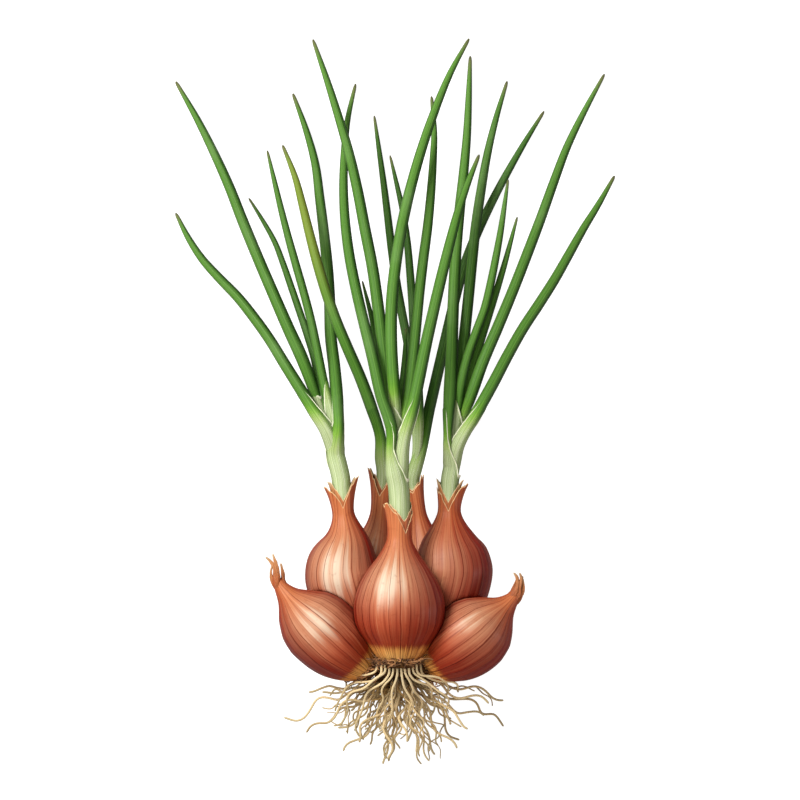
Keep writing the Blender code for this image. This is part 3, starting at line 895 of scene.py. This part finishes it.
# Dry necks: the twisted strands that each ends in, as a thickness and a middle line
STRANDS = {
    "outer_left": [
        (1.55, [(-41.0, 23.6, 50.0), (-45.4, 28.6, 50.6), (-48.2, 33.6, 50.6), (-48.9, 38.2, 50.2),
                (-50.6, 40.8, 49.8), (-52.4, 42.3, 50.0)]),
        (1.45, [(-43.4, 24.6, 50.4), (-47.4, 30.2, 50.8), (-47.4, 35.0, 51.0), (-48.4, 39.8, 50.4),
                (-49.5, 43.6, 50.0)]),
        (1.40, [(-42.0, 27.0, 50.2), (-45.0, 32.0, 49.8), (-45.6, 36.0, 49.8), (-46.3, 39.8, 49.8)]),
        (1.25, [(-43.6, 24.0, 48.6), (-48.6, 30.4, 48.6), (-50.2, 35.4, 48.8), (-49.8, 39.0, 48.8)]),
        (1.15, [(-42.0, 25.4, 47.6), (-47.0, 31.4, 47.4), (-48.2, 36.2, 47.6), (-47.9, 40.8, 48.2)]),
    ],
    "outer_right": [
        (1.55, [(41.6, 21.8, 50.4), (46.0, 26.4, 50.9), (48.0, 30.8, 50.8), (47.8, 34.0, 50.2),
                (46.4, 36.0, 49.9)]),
        (1.45, [(43.8, 21.6, 50.4), (48.2, 27.2, 50.6), (49.0, 31.0, 50.6), (49.6, 33.8, 50.0),
                (48.8, 36.0, 49.8)]),
        (1.35, [(44.6, 21.0, 49.2), (49.0, 26.2, 49.4), (50.4, 30.0, 49.4), (50.2, 33.6, 49.4)]),
        (1.20, [(43.0, 22.4, 48.0), (48.0, 27.4, 47.6), (49.4, 31.0, 47.8), (50.2, 34.6, 48.4)]),
        (1.00, [(42.6, 24.6, 49.4), (45.8, 28.6, 49.2), (47.4, 32.6, 49.0), (48.2, 34.8, 49.2)]),
    ],
}


def add_dry_neck(key, finish):
    """Strands of dead leaf twisted together, each creased along and thinning to its end."""
    strands = []
    template = unit_tube("strand", 18, 46, 0.0, 0.05)
    chance = random.Random(key + "_neck")
    for i, (size, points) in enumerate(STRANDS[key]):
        line = drawn(points, 60)
        for k, point in enumerate(line):
            share = k / 59
            swell = min(1.0, 0.2 + 2.6 * share) * (1.12 - 0.72 * share ** 2)
            point.w = size * 0.58 * swell * (1 + 0.10 * sin(share * 17 + i))
        piece = copied(template, f"strand_{key}_{i}")
        start = chance.uniform(0, tau)
        for v in piece.data.vertices:
            angle = angle_round(v.co)
            twist = angle + v.co.x * 2.4 + start
            crease = 1 + 0.20 * sin(3 * twist) + 0.09 * sin(7 * twist + 1)
            crease += 0.05 * noise.noise(Vector((v.co.x * 9, cos(angle) * 2, i)))
            v.co.y *= crease * 1.12
            v.co.z *= crease * 0.88
        strands.append(along_line(piece, line, chance.uniform(0.45, 1.0)))
    bpy.data.objects.remove(template, do_unlink=True)
    settle(joined(strands, "dry_neck_" + key), finish, "bulb_skin")


# ---------------------------------------------------------------- leaves and sheaths

# A leaf's girth: share of its length past the sheath, and share of its largest radius
LEAF_GIRTH = ((0.0, 1.08), (0.12, 1.06), (0.3, 1.0), (0.5, 0.95), (0.7, 0.81), (0.85, 0.61),
              (0.95, 0.42), (1.0, 0.28))
TIP_REACH = 1.7                 # how far a leaf runs on past its CAD tip
# How far a leaf is raised at the fork over the leaves that it wraps, or let down under them
LIFTS = {
    "leaf_left_5": 5.0, "leaf_left_1": 3.0, "leaf_left_4": -0.5, "leaf_left_2": -6.0,
    "leaf_front_1": 2.6, "leaf_front_5": 1.2, "leaf_front_4": -4.0, "leaf_front_2": -4.5,
    "leaf_right_1": 4.5, "leaf_right_6": 2.4, "leaf_right_3": -0.8, "leaf_right_5": -5.5,
    "leaf_right_4": -3.0,
}
LIFT_FROM, LIFT_SPAN = 96.0, 44.0
# the side of each leaf and sheath that takes the painted light, and how far round it spreads
LEAF_PAINTED_LIGHT_SIDE, LEAF_PAINTED_LIGHT_SPREAD = radians(66), radians(105)
LEAF_SIDES = 28
LEAF_ROWS = 60


def unit_tube(name, sides, rows, ribs=0.0, blunt=0.012):
    """A straight tube of unit length and radius, closed at its ends and drawn in at the far one."""
    outline = [(0.0, 0.0), (0.001, 0.9)]
    for i in range(1, rows + 1):
        outline.append((i / rows * (1 - blunt), 1.0))
    outline += [(1 - blunt * 0.45, 0.82), (1 - blunt * 0.12, 0.5), (1.0, 0.0)]
    piece = turned(name, outline, sides)
    lay_grain(piece, 1.0)
    if ribs:
        for v in piece.data.vertices:
            swell = 1 + ribs * cos(angle_round(v.co) * sides / 2)
            v.co.y *= swell
            v.co.z *= swell
    return piece


def along_line(piece, line, tone):
    """Bends a unit-length piece along the whole of a line."""
    stretch_grain(piece, length_of(line))
    set_tone(piece, tone)
    bend(piece, line, True)
    return piece


def neck_across(key, place):
    """Where across the clump a shaft is at a place: amid its bulb's neck while inside it."""
    below, neck = BULBS[key][2][-2:]
    inside = min(max((neck[1] + 4 - place.y) / 4, 0.0), 1.0)
    middle = below[0] + (neck[0] - below[0]) * (place.y - below[1]) / (neck[1] - below[1])
    return place.x + (middle - place.x) * inside


def shaft_key(name):
    """The shaft that a leaf grows from."""
    return max((key for key in SHEATHS if name.startswith("leaf_" + key)), key=len)


def lifted(name):
    """A CAD leaf's middle line, raised or let down near its fork."""
    line = middle_line(name, 8)
    for point in line:
        point.z += LIFTS.get(name, 0.0) * (1 - smoothed(point.y, LIFT_FROM, LIFT_SPAN))
    return line


def leaf_line(name, shafts):
    """A leaf's middle line, from inside its shaft to its tip, with its radii."""
    line, shaft, fork = lifted(name), shafts[shaft_key(name)], fork_of(name)
    widest = max(point.w for point in line)
    if fork:
        slim = min(fork.w, widest) * 0.7
        under = [Vector((*place, slim)) for place in shaft_under(shaft, fork.y - 9)[-2:]]
        under.append(Vector((*fork.xyz, min(fork.w - 0.2, widest))))
        rest = [point for point in line[1:] if point.y > fork.y + 6]
    else:
        away = line[0] - shaft[-1]
        under = []
        for drop, lean, share in ((26.0, 0.25, 0.5), (13.0, 0.5, 0.5), (1.0, 0.66, 0.8)):
            place = point_at(shaft, length_of(shaft) - drop)
            under.append(Vector((*(place + away.xyz * lean), widest * share)))
        rest = line[2:]
    rest[-1].xyz += (rest[-1].xyz - rest[-2].xyz).normalized() * TIP_REACH
    reach = distances(rest)
    for point, done in zip(rest, reach):
        point.w = widest * eased(LEAF_GIRTH, done / reach[-1])
        point.z = max(point.z, point.w + 0.1)
    return keep_in(under + rest, 0.4)


# A leaf's tone scales its painted lit side: back leaves get almost none and show the painted shade
# colour, four more get little, back_left_1 takes an olive cast, the rest differ at random
def shade_of(name, chance):
    if name == "leaf_back_left_1":
        return 1.4
    if "back" in name:
        return chance.uniform(0.0, 0.25)
    if name in ("leaf_front_3", "leaf_front_7", "leaf_left_3", "leaf_right_2"):
        return chance.uniform(0.25, 0.45)
    return chance.uniform(0.7, 1.0)


def sunny_side(piece):
    """Keeps how far each point is turned to the painted lit side, while a piece is still straight.
    """
    store(piece, "sun", [sunlit(apart(angle_round(v.co), LEAF_PAINTED_LIGHT_SIDE), LEAF_PAINTED_LIGHT_SPREAD)
                         for v in piece.data.vertices])


def colour_up(piece, start, span):
    """Stores how green each point is: none up to a height on the clump, then full past a span."""
    store(piece, "green", [smoothed(v.co.y, start, span) for v in piece.data.vertices])


def add_leaves(finish, shafts):
    template = unit_tube("leaf_blade", LEAF_SIDES, LEAF_ROWS, 0.014)
    sunny_side(template)
    chance = random.Random(4)
    for name in sorted(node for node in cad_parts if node.startswith("leaf_")):
        line = smooth_line(leaf_line(name, shafts), 90)
        piece = copied(template, name.replace("leaf_", "blade_"))
        along_line(piece, line, shade_of(name, chance))
        colour_up(piece, *(BLADE_GREEN.get(name) or GREEN_FROM.get(name, REST_GREEN)))
        settle(piece, finish, "leaf", name)
    bpy.data.objects.remove(template, do_unlink=True)


# The height at which a leaf and its sheath start to turn green, and the span over which they do
REST_GREEN = (88.0, 22.0)
GREEN_FROM = {
    "leaf_left_1": (92.0, 16.0), "leaf_left_2": (104.0, 12.0), "leaf_left_4": (100.0, 22.0),
    "leaf_left_5": (78.0, 26.0), "leaf_front_1": (76.0, 22.0), "leaf_front_4": (96.0, 22.0),
    "leaf_front_5": (86.0, 24.0), "leaf_right_1": (80.0, 20.0), "leaf_right_6": (88.0, 20.0),
    "leaf_right_3": (98.0, 20.0), "leaf_back_left_1": (72.0, 30.0),
    "leaf_back_right_3": (72.0, 28.0),
}

# Blades that are already green where they come out of their sheaths
BLADE_GREEN = {"leaf_left_4": (80.0, 18.0), "leaf_left_2": (86.0, 14.0),
               "leaf_right_3": (82.0, 16.0)}

# Sheaths, from the outermost in: the leaf that each grows into, its radius round the shaft,
# the place across and up the clump where it leaves the shaft and its radius there, the Y of
# the lowest and highest point of its mouth, the side of the high point round it in degrees
# (0 left, 90 towards the front, 180 right), and how far round from there the mouth starts
# to fall and is lowest
SHEATH_ROWS, SHEATH_SIDES = 56, 44
SHEATHS = {
    "left": [("leaf_left_5", 3.72, (-23.4, 94.0, 2.1), 79.5, 106.0, 110, 63, 118),
             ("leaf_left_1", 3.3, (-28.2, 93.0, 2.9), 93.0, 108.0, 30, 75, 150),
             ("leaf_left_4", 2.8, (-26.3, 98.5, 1.9), 100.0, 112.0, 150, 20, 165),
             ("leaf_left_2", 2.4, (-30.4, 101.0, 2.1), 105.0, 106.6, 60, 0, 180)],
    "front": [("leaf_front_1", 4.2, (-2.4, 84.5, 2.0), 72.8, 98.0, 20, 62, 128),
              ("leaf_front_5", 3.6, (2.3, 87.5, 2.8), 86.2, 106.0, 120, 25, 125),
              ("leaf_front_4", 3.1, (-0.4, 98.0, 2.5), 95.4, 103.0, 30, 25, 150)],
    "right": [("leaf_right_1", 3.62, (20.2, 88.4, 1.7), 75.4, 101.0, 20, 30, 118),
              ("leaf_right_6", 3.2, (24.8, 88.0, 2.7), 86.2, 104.0, 120, 40, 125),
              ("leaf_right_3", 2.8, (23.8, 97.5, 2.3), 95.0, 104.5, 30, 25, 150)],
    "back_left": [("leaf_back_left_1", 2.6, (-6.8, 90.5, 2.2), 96.0, 102.0, 90, 0, 180)],
    "back_right": [("leaf_back_right_3", 2.8, (10.0, 86.5, 2.4), 80.0, 100.0, 140, 40, 150)],
}


def shaft_under(shaft, y):
    """The places up a shaft as far as a height."""
    return [place.xyz for place in shaft if place.y < y]


def fork_of(name):
    """Where a sheath leaves the shaft for its leaf, with its radius there, or None."""
    for row in sum(SHEATHS.values(), []):
        if row[0] == name:
            x, y, radius = row[2]
            return Vector((x, y, lifted(name)[1].z, radius))
    return None


def distance_at(line, y):
    """How far along a line it first reaches a height up the clump."""
    done = 0.0
    for before, after in zip(line, line[1:]):
        step = (after.xyz - before.xyz).length
        if after.y >= y:
            return done + step * (y - before.y) / max(after.y - before.y, 1e-6)
        done += step
    return done


def sheath_line(leaf, shaft, fork):
    """Up a shaft, out at a fork, then along the leaf."""
    route = shaft_under(shaft, fork.y - 9) + [fork.xyz]
    return drawn(route + [place.xyz for place in leaf[1:] if place.y > fork.y + 6], 110)


def add_sheath(name, shaft, leaf_name, radius, _, low, high, side, falls, lowest, finish):
    """A thin tube round the shaft that grows into its leaf, cut aslant at its mouth."""
    leaf, fork = lifted(leaf_name), fork_of(leaf_name)
    line = sheath_line(leaf[:8], shaft, fork)
    slim = max(point.w for point in leaf) * 1.07 + 0.06
    low, high, parting = (distance_at(line, y) for y in (low, high, fork.y))
    rows = [high * (1 - (1 - i / SHEATH_ROWS) ** 1.7) for i in range(SHEATH_ROWS + 1)]
    piece = turned(name, [(row, 1.0) for row in rows], SHEATH_SIDES)
    # back sheaths get a low tone, which paints them in shade, and no painted highlight on the rim
    hidden = "back" in name
    lay_grain(piece, high, tone=0.3 if hidden else 0.9)
    girths = ((parting - 9, radius), (parting + 1, fork.w), (parting + 13, slim))
    rims = []
    for v in piece.data.vertices:
        angle = angle_round(v.co)
        away = degrees(apart(angle, radians(side)))
        fall = smoothed(away, falls, lowest - falls)
        rim = low + (high - low) * (1 - fall) + ragged(angle, 2, low) * 0.6
        v.co.x *= rim / high
        near = 0.0 if hidden else max(0.0, 1.0 - (rim - v.co.x) / 1.9)
        rims.append(near * min(1.0, 0.2 + 3 * fall))
        out = eased(girths, v.co.x) + 0.42 * near * min(1.0, 3 * fall)
        put(v, v.co.x, out * (1 + 0.012 * cos(22 * angle)), angle)
    sunny_side(piece)
    store(piece, "rim", rims)
    wall = piece.modifiers.new("wall", "SOLIDIFY")
    wall.thickness, wall.offset = 0.25, -1.0
    apply_all(piece)
    bend(piece, line, False)
    colour_up(piece, *GREEN_FROM.get(leaf_name, REST_GREEN))
    return settle(piece, finish, "sheath")


def add_shafts(finish, shafts):
    for key, rows in SHEATHS.items():
        for i, row in enumerate(rows):
            piece = add_sheath(f"sheath_{key}_{i + 1}", shafts[key], *row, finish)
            if i == 0:
                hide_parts("shaft_" + key)


# ---------------------------------------------------------------- roots and crown

MAIN_ROOTS, FRONT_ROOTS, SIDE_ROOTS, DARK_ROOTS, FINE_ROOTS = 24, 12, 44, 60, 44
FINE_FROM_CROWN = 10            # how many of the fine roots spring from the crown itself
FRONT_SPREAD = radians(74)


def wander(line, size, chance, wave=16.0):
    """Gives a line the slow bends and the sideways waves of a root, fading out at its start."""
    seed = Vector([chance.uniform(-50, 50) for _ in range(3)])
    start, sway = chance.uniform(0, tau), size * chance.uniform(0.22, 0.42)
    length = length_of(line)
    ahead = [(b.xyz - a.xyz).normalized() for a, b in zip(line, line[1:])]
    for i, point in enumerate(line):
        share = i / (len(line) - 1)
        heading = ahead[min(i, len(ahead) - 1)]
        side = Vector((-heading.y, heading.x, 0.0))
        push = noise.noise_vector(seed + Vector((share * length / (wave * 1.7), 0, 0))) * size
        push += side * sin(share * length * tau / (wave * 1.1) + start) * sway
        point.xyz = point.xyz + push * min(1.0, max(0.0, share * 2.2 - 0.1))
    return line


def keep_in(line, margin):
    """Keeps a line inside the clump's box, with room for its own thickness."""
    low, high = cad_low / MM - SHIFT, cad_high / MM - SHIFT
    for point in line:
        for i in range(3):
            point[i] = min(max(point[i], low[i] + margin), high[i] - margin)
    return line


def root_start(direction):
    """Where a direction from the crown's middle meets its surface."""
    out = sqrt(sum((d / h) ** 2 for d, h in zip(direction, CROWN_HALF)))
    return CROWN_CENTRE + direction / out


def girth(line, first, last):
    """Gives a line radii that go evenly from one to the other."""
    for i, point in enumerate(line):
        share = i / (len(line) - 1)
        point.w = first + (last - first) * share ** 0.8
    return line


def fan_direction(fan, rise):
    """A direction out of the crown, by its angles from straight down the clump and from level."""
    return Vector((sin(fan) * cos(rise), -cos(fan) * cos(rise), sin(rise)))


def root_line(points, count, size, wave, margin, chance):
    """A root's middle line: through the points, with its bends, and inside the clump's box."""
    return keep_in(wander(drawn(points, count), size, chance, wave), margin)


def main_roots(chance):
    """The roots that the CAD holds, with their waves. Each kind gives lines and their tones."""
    for index in range(1, MAIN_ROOTS + 1):
        line = middle_line(f"root_{index:02d}", 6)
        line.insert(0, Vector((*(CROWN_CENTRE + (line[0].xyz - CROWN_CENTRE) * 0.8), 1.0)))
        line = keep_in(wander(smooth_line(line, 70), 4.6, chance, 15.0), 0.7)
        # roots that end low get a browner tone, as painted shade
        tone = chance.uniform(0.7, 1.0) if line[-1].z > 12 else chance.uniform(0.4, 0.6)
        yield girth(line, 0.56, 0.44), tone


def front_roots(chance):
    """The palest roots, which spring from under the front bulb, arch outwards and turn down."""
    for index in range(FRONT_ROOTS):
        share = index / (FRONT_ROOTS - 1) * 2 - 1
        fan = FRONT_SPREAD * share + chance.uniform(-0.05, 0.05)
        reach = chance.uniform(17, 30)
        across, down = sin(fan), -cos(fan)
        near = sqrt(1 - 0.95 * share * share)
        start = Vector((0.8 + 8.4 * share, 0.4, 50.5 + 6.0 * near))
        bow = (start.x + 1.2 * share, -4.0 + down * 0.6, 49.5 + 6.6 * near)
        knee = (start.x + across * reach * 0.64, -4.2 + down * reach * 0.42, 46 + 3 * near)
        tip = (start.x + across * reach * 0.72, -6.4 + down * reach, chance.uniform(30, 40))
        line = root_line((start, bow, knee, tip), 70, 3.6, 15.0, 1.0, chance)
        girth(line, chance.uniform(0.44, 0.52), chance.uniform(0.36, 0.42))
        yield line, chance.uniform(0.9, 1.0)


def side_roots(chance):
    """Thinner roots that fill the tuft on every side of the crown, the last ones short and dark,
    painted shade deep in the tuft.
    """
    for index in range(SIDE_ROOTS + DARK_ROOTS):
        dark = index >= SIDE_ROOTS
        fan, rise = radians(chance.gauss(0, 44)), radians(chance.uniform(-60, 62))
        direction = fan_direction(fan, rise)
        start = root_start(direction)
        reach = chance.uniform(5, 15) if dark else chance.uniform(14, 33)
        reach *= 0.85 if abs(fan) >= 0.9 and not dark else 1.0
        tip = start + Vector((sin(fan) * reach, -cos(fan) * reach * 1.02,
                              sin(rise) * 8 - chance.uniform(0, 12)))
        middle = (start + tip) / 2 + Vector((0, 0, 4 + 4 * sin(rise)))
        route = (start - direction * 2, start + direction * 2, middle, tip)
        line = root_line(route, 60, 4.6, 14.0, 0.7, chance)
        girth(line, chance.uniform(0.36, 0.46), chance.uniform(0.30, 0.38))
        # the higher a root rises, the paler its tone; pointing down, or one of the short dark ones,
        # it is painted in shade
        tone = 0.08 + 0.55 * (sin(rise) * 0.5 + 0.5) + chance.uniform(-0.1, 0.15)
        yield line, 0.0 if dark else tone


def fine_roots(chance, mothers):
    """Hair-thin roots, some from the crown and more as forks off the thicker ones."""
    for index in range(FINE_ROOTS):
        if index < FINE_FROM_CROWN:
            fan, rise = radians(chance.gauss(0, 50)), radians(chance.uniform(-70, 70))
            direction = fan_direction(fan, rise)
            start = root_start(direction)
            reach, size = chance.uniform(8, 30), chance.uniform(0.26, 0.36)
        else:
            mother = mothers[chance.randrange(len(mothers))]
            at = chance.randrange(18, len(mother) - 8)
            start = mother[at].xyz
            ahead = (mother[at + 3].xyz - start).normalized()
            turn = chance.choice((-1, 1)) * chance.uniform(0.4, 1.0)
            direction = (ahead + Vector((-ahead.y, ahead.x, 0)) * turn).normalized()
            reach, size = chance.uniform(5, 15), chance.uniform(0.28, 0.38)
        tip = start + direction * reach + Vector((0, -reach * 0.2, -reach * chance.uniform(0, 0.3)))
        middle = (start + tip) / 2 + Vector([chance.uniform(-2, 2) for _ in range(3)])
        line = girth(root_line((start, middle, tip), 40, 3.4, 11.0, 0.4, chance), size, size * 0.7)
        yield line, chance.uniform(0.15, 0.85)


def grown(name, template, roots):
    """One piece of many bent copies of a template; roots are lines and tones."""
    return joined([along_line(copied(template, name), line, tone) for line, tone in roots], name)


def add_roots(finish):
    chance = random.Random(11)
    noise.seed_set(7)           # the waves of the roots come out the same each time
    kinds = {kind.__name__: list(kind(chance)) for kind in (main_roots, front_roots, side_roots)}
    mothers = [line for roots in kinds.values() for line, _ in roots]
    kinds["fine_roots"] = list(fine_roots(chance, mothers))
    nodes = {"main_roots": [f"root_{i:02d}" for i in range(1, MAIN_ROOTS + 1)]}
    thick = unit_tube("root", 9, 48, 0.0, 0.02)
    thin = unit_tube("root_hair", 6, 26, 0.0, 0.03)
    for name, roots in kinds.items():
        piece = grown(name, thin if name == "fine_roots" else thick, roots)
        settle(piece, finish, "root", *nodes.get(name, []))
    for template in (thick, thin):
        bpy.data.objects.remove(template, do_unlink=True)


# How many curled fibres lie round each base
FRINGES = {"front": 96, "outer_left": 64, "outer_right": 64}


def fringe_start(key, chance):
    """A place on the rim of a bulb's base."""
    line = axis_of(key)
    ahead = (line[1] - line[0]).normalized()
    across = ahead.cross(Vector((0, 0, 1))).normalized()
    turn = chance.uniform(-0.4, pi + 0.4)
    radius = radius_at(key, length_of(line), BASE_START[key]) * chance.uniform(0.92, 1.1)
    out = (across * cos(turn) + across.cross(ahead) * sin(turn)) * radius
    return point_at(line, BASE_START[key]) + out - ahead * chance.uniform(-0.9, 1.3)


def fringe_lines(chance):
    """Short curls that start all round the bases of the three front bulbs."""
    for key, count in FRINGES.items():
        for _ in range(count):
            heading, reach = chance.uniform(0, tau), chance.uniform(0.9, 1.9)
            points = [fringe_start(key, chance)]
            for _ in range(4):
                heading += chance.uniform(-1.3, 1.3)
                points.append(points[-1] + Vector((cos(heading), sin(heading) * 0.5,
                                                   chance.uniform(-0.4, 0.4))) * reach)
            line = girth(drawn(points, 26), chance.uniform(0.20, 0.32), 0.14)
            yield line, chance.uniform(0.0, 1.0) ** 2.6


def add_fringe(finish):
    """Curled shreds of old skin and root round the bases."""
    template = unit_tube("shred", 6, 18, 0.0, 0.04)
    settle(grown("curled_fibres", template, fringe_lines(random.Random(23))), finish, "crown_fibre")
    bpy.data.objects.remove(template, do_unlink=True)


def add_plates(finish):
    """The short fibrous plate under each bulb, between its skin and the crown."""
    plates = []
    for key in PRESS_ORDER:
        line = axis_of(key)
        start = BASE_START[key]
        radius = BULBS[key][0] * 0.36
        outline = [(-3.0, 0.0), (-2.6, radius * 0.9), (0.0, radius), (start, radius * 0.98),
                   (start + 1.5, radius * 0.7), (start + 1.6, 0.0)]
        piece = turned("plate_" + key, outline, 40)
        lay_grain(piece, start + 5)
        pick(piece)
        bpy.ops.object.mode_set(mode="EDIT")
        bpy.ops.mesh.select_all(action="SELECT")
        bpy.ops.mesh.subdivide(number_cuts=2)
        bpy.ops.object.mode_set(mode="OBJECT")
        for v in piece.data.vertices:
            swell = 1 + 0.05 * cos(17 * angle_round(v.co)) + 0.08 * noise.noise(v.co * 0.9)
            v.co.y *= swell
            v.co.z *= swell
        bend(piece, line, False)
        plates.append(piece)
    settle(joined(plates, "base_plates"), finish, "crown_fibre")


def add_crown(finish):
    """The squat lump of old fibre that bulbs and roots grow from."""
    pick()
    bpy.ops.mesh.primitive_ico_sphere_add(subdivisions=5, radius=1.0)
    piece = bpy.context.object
    piece.name = piece.data.name = "crown_of_roots"
    for v in piece.data.vertices:
        swell = 1 + 0.10 * noise.noise(v.co * 3) + 0.07 * noise.noise(v.co * 9)
        v.co = Vector([c * h * swell for c, h in zip(v.co, CROWN_HALF)]) + CROWN_CENTRE
    bpy.ops.object.shade_smooth()
    settle(piece, finish, "crown_fibre", "root_crown")


# ---------------------------------------------------------------- the stage

def add_stage():
    """A pale floor, an even sky and four soft lamps."""
    pick()
    bpy.ops.mesh.primitive_plane_add(size=12.0, location=(0, 0, -0.0002))
    floor = bpy.context.object
    floor.name = "floor"
    bpy.ops.object.transform_apply(location=True, rotation=False, scale=False)
    web = Finish("pale_floor", Specular_IOR_Level=0.1, Base_Color=(0.42, 0.42, 0.42, 1.0),
                 Roughness=0.9, Emission_Color=(1.0, 1.0, 1.0, 1.0))
    seen = web.add("ShaderNodeLightPath").outputs["Is Camera Ray"]
    web.feed(web.shader["Emission Strength"], web.times(seen, 0.92))
    floor.data.materials.append(web.material)
    world = bpy.data.worlds.new("studio")
    bpy.context.scene.world = world
    world.use_nodes = True
    sky = world.node_tree.nodes["Background"].inputs
    sky["Color"].default_value, sky["Strength"].default_value = (1.0, 1.0, 1.0, 1.0), 0.17
    add_light("key", (-0.54, 0.50, 0.80), 0.50, 12.5, (1.0, 0.98, 0.94))
    add_light("fill", (-0.30, -0.85, 0.60), 0.50, 2.8, (1.0, 0.96, 0.90)).visible_glossy = False
    add_light("above", (0.0, 0.05, 0.95), 0.30, 1.4, (1.0, 0.97, 0.92)).visible_glossy = False
    add_light("rim", (0.95, -0.20, 0.22), 0.30, 1.6, (1.0, 0.84, 0.86))
    bpy.context.scene.view_settings.view_transform = "Standard"


def add_light(name, place, size, power, colour):
    bpy.ops.object.light_add(type="AREA", location=place)
    lamp = bpy.context.object
    lamp.name = name
    lamp.data.shape = "DISK"
    lamp.data.size = size
    lamp.data.energy = power
    lamp.data.color = colour
    lamp.visible_camera = False
    lamp.rotation_mode = "QUATERNION"
    lamp.rotation_quaternion = (Vector((0, 0, 0.03)) - Vector(place)).to_track_quat("-Z", "Y")
    return lamp


CAMERA_HEIGHT = 4.0             # metres above the surface
SIGHT_HEIGHT = 0.035            # height of the clump's middle
SIGHT_SIDE = 0.320              # side of the square in view at that height
SIGHT_CENTRE = (0.00196, 0.0001)


def add_camera():
    data = bpy.data.cameras.new("camera")
    camera = bpy.data.objects.new("camera", data)
    bpy.context.collection.objects.link(camera)
    camera.location = (*SIGHT_CENTRE, CAMERA_HEIGHT)
    data.sensor_width = 36.0
    data.lens = data.sensor_width * (CAMERA_HEIGHT - SIGHT_HEIGHT) / SIGHT_SIDE
    data.clip_start, data.clip_end = 0.1, 50.0
    bpy.context.scene.camera = camera


# ---------------------------------------------------------------- the clump

# The front shaft's middle line and its radii
FRONT_SHAFT = ((0.8, 52.4, 56.5, 4.3), (0.7, 70, 56.4, 4.2), (0.3, 92, 55.8, 4.1))


def build():
    grain_group()
    vein_group()
    speckle_group()
    stripe_group()
    shafts = {key: middle_line("shaft_" + key, 12) for key in SHEATHS if key != "front"}
    shafts["front"] = [Vector(point) for point in FRONT_SHAFT]
    for key, shaft in shafts.items():
        for place in shaft:
            place.x = neck_across(key, place)
    add_bulbs({key: skin_finish("skin_" + key, VEINS[key], GOLD_LIFT.get(key, 0.0))
               for key in PRESS_ORDER})
    dry_skin = paper_finish()
    for key in COLLARS:
        add_collar(key, shafts[key], dry_skin)
    for key in STRANDS:
        add_dry_neck(key, dry_skin)
    add_shafts(growth_finish("leaf_sheath", True), shafts)
    add_leaves(growth_finish("green_leaf", False), shafts)
    fibre = crown_finish()
    add_crown(fibre)
    add_plates(fibre)
    add_roots(root_finish())
    add_fringe(shred_finish())


build()
add_stage()
add_camera()
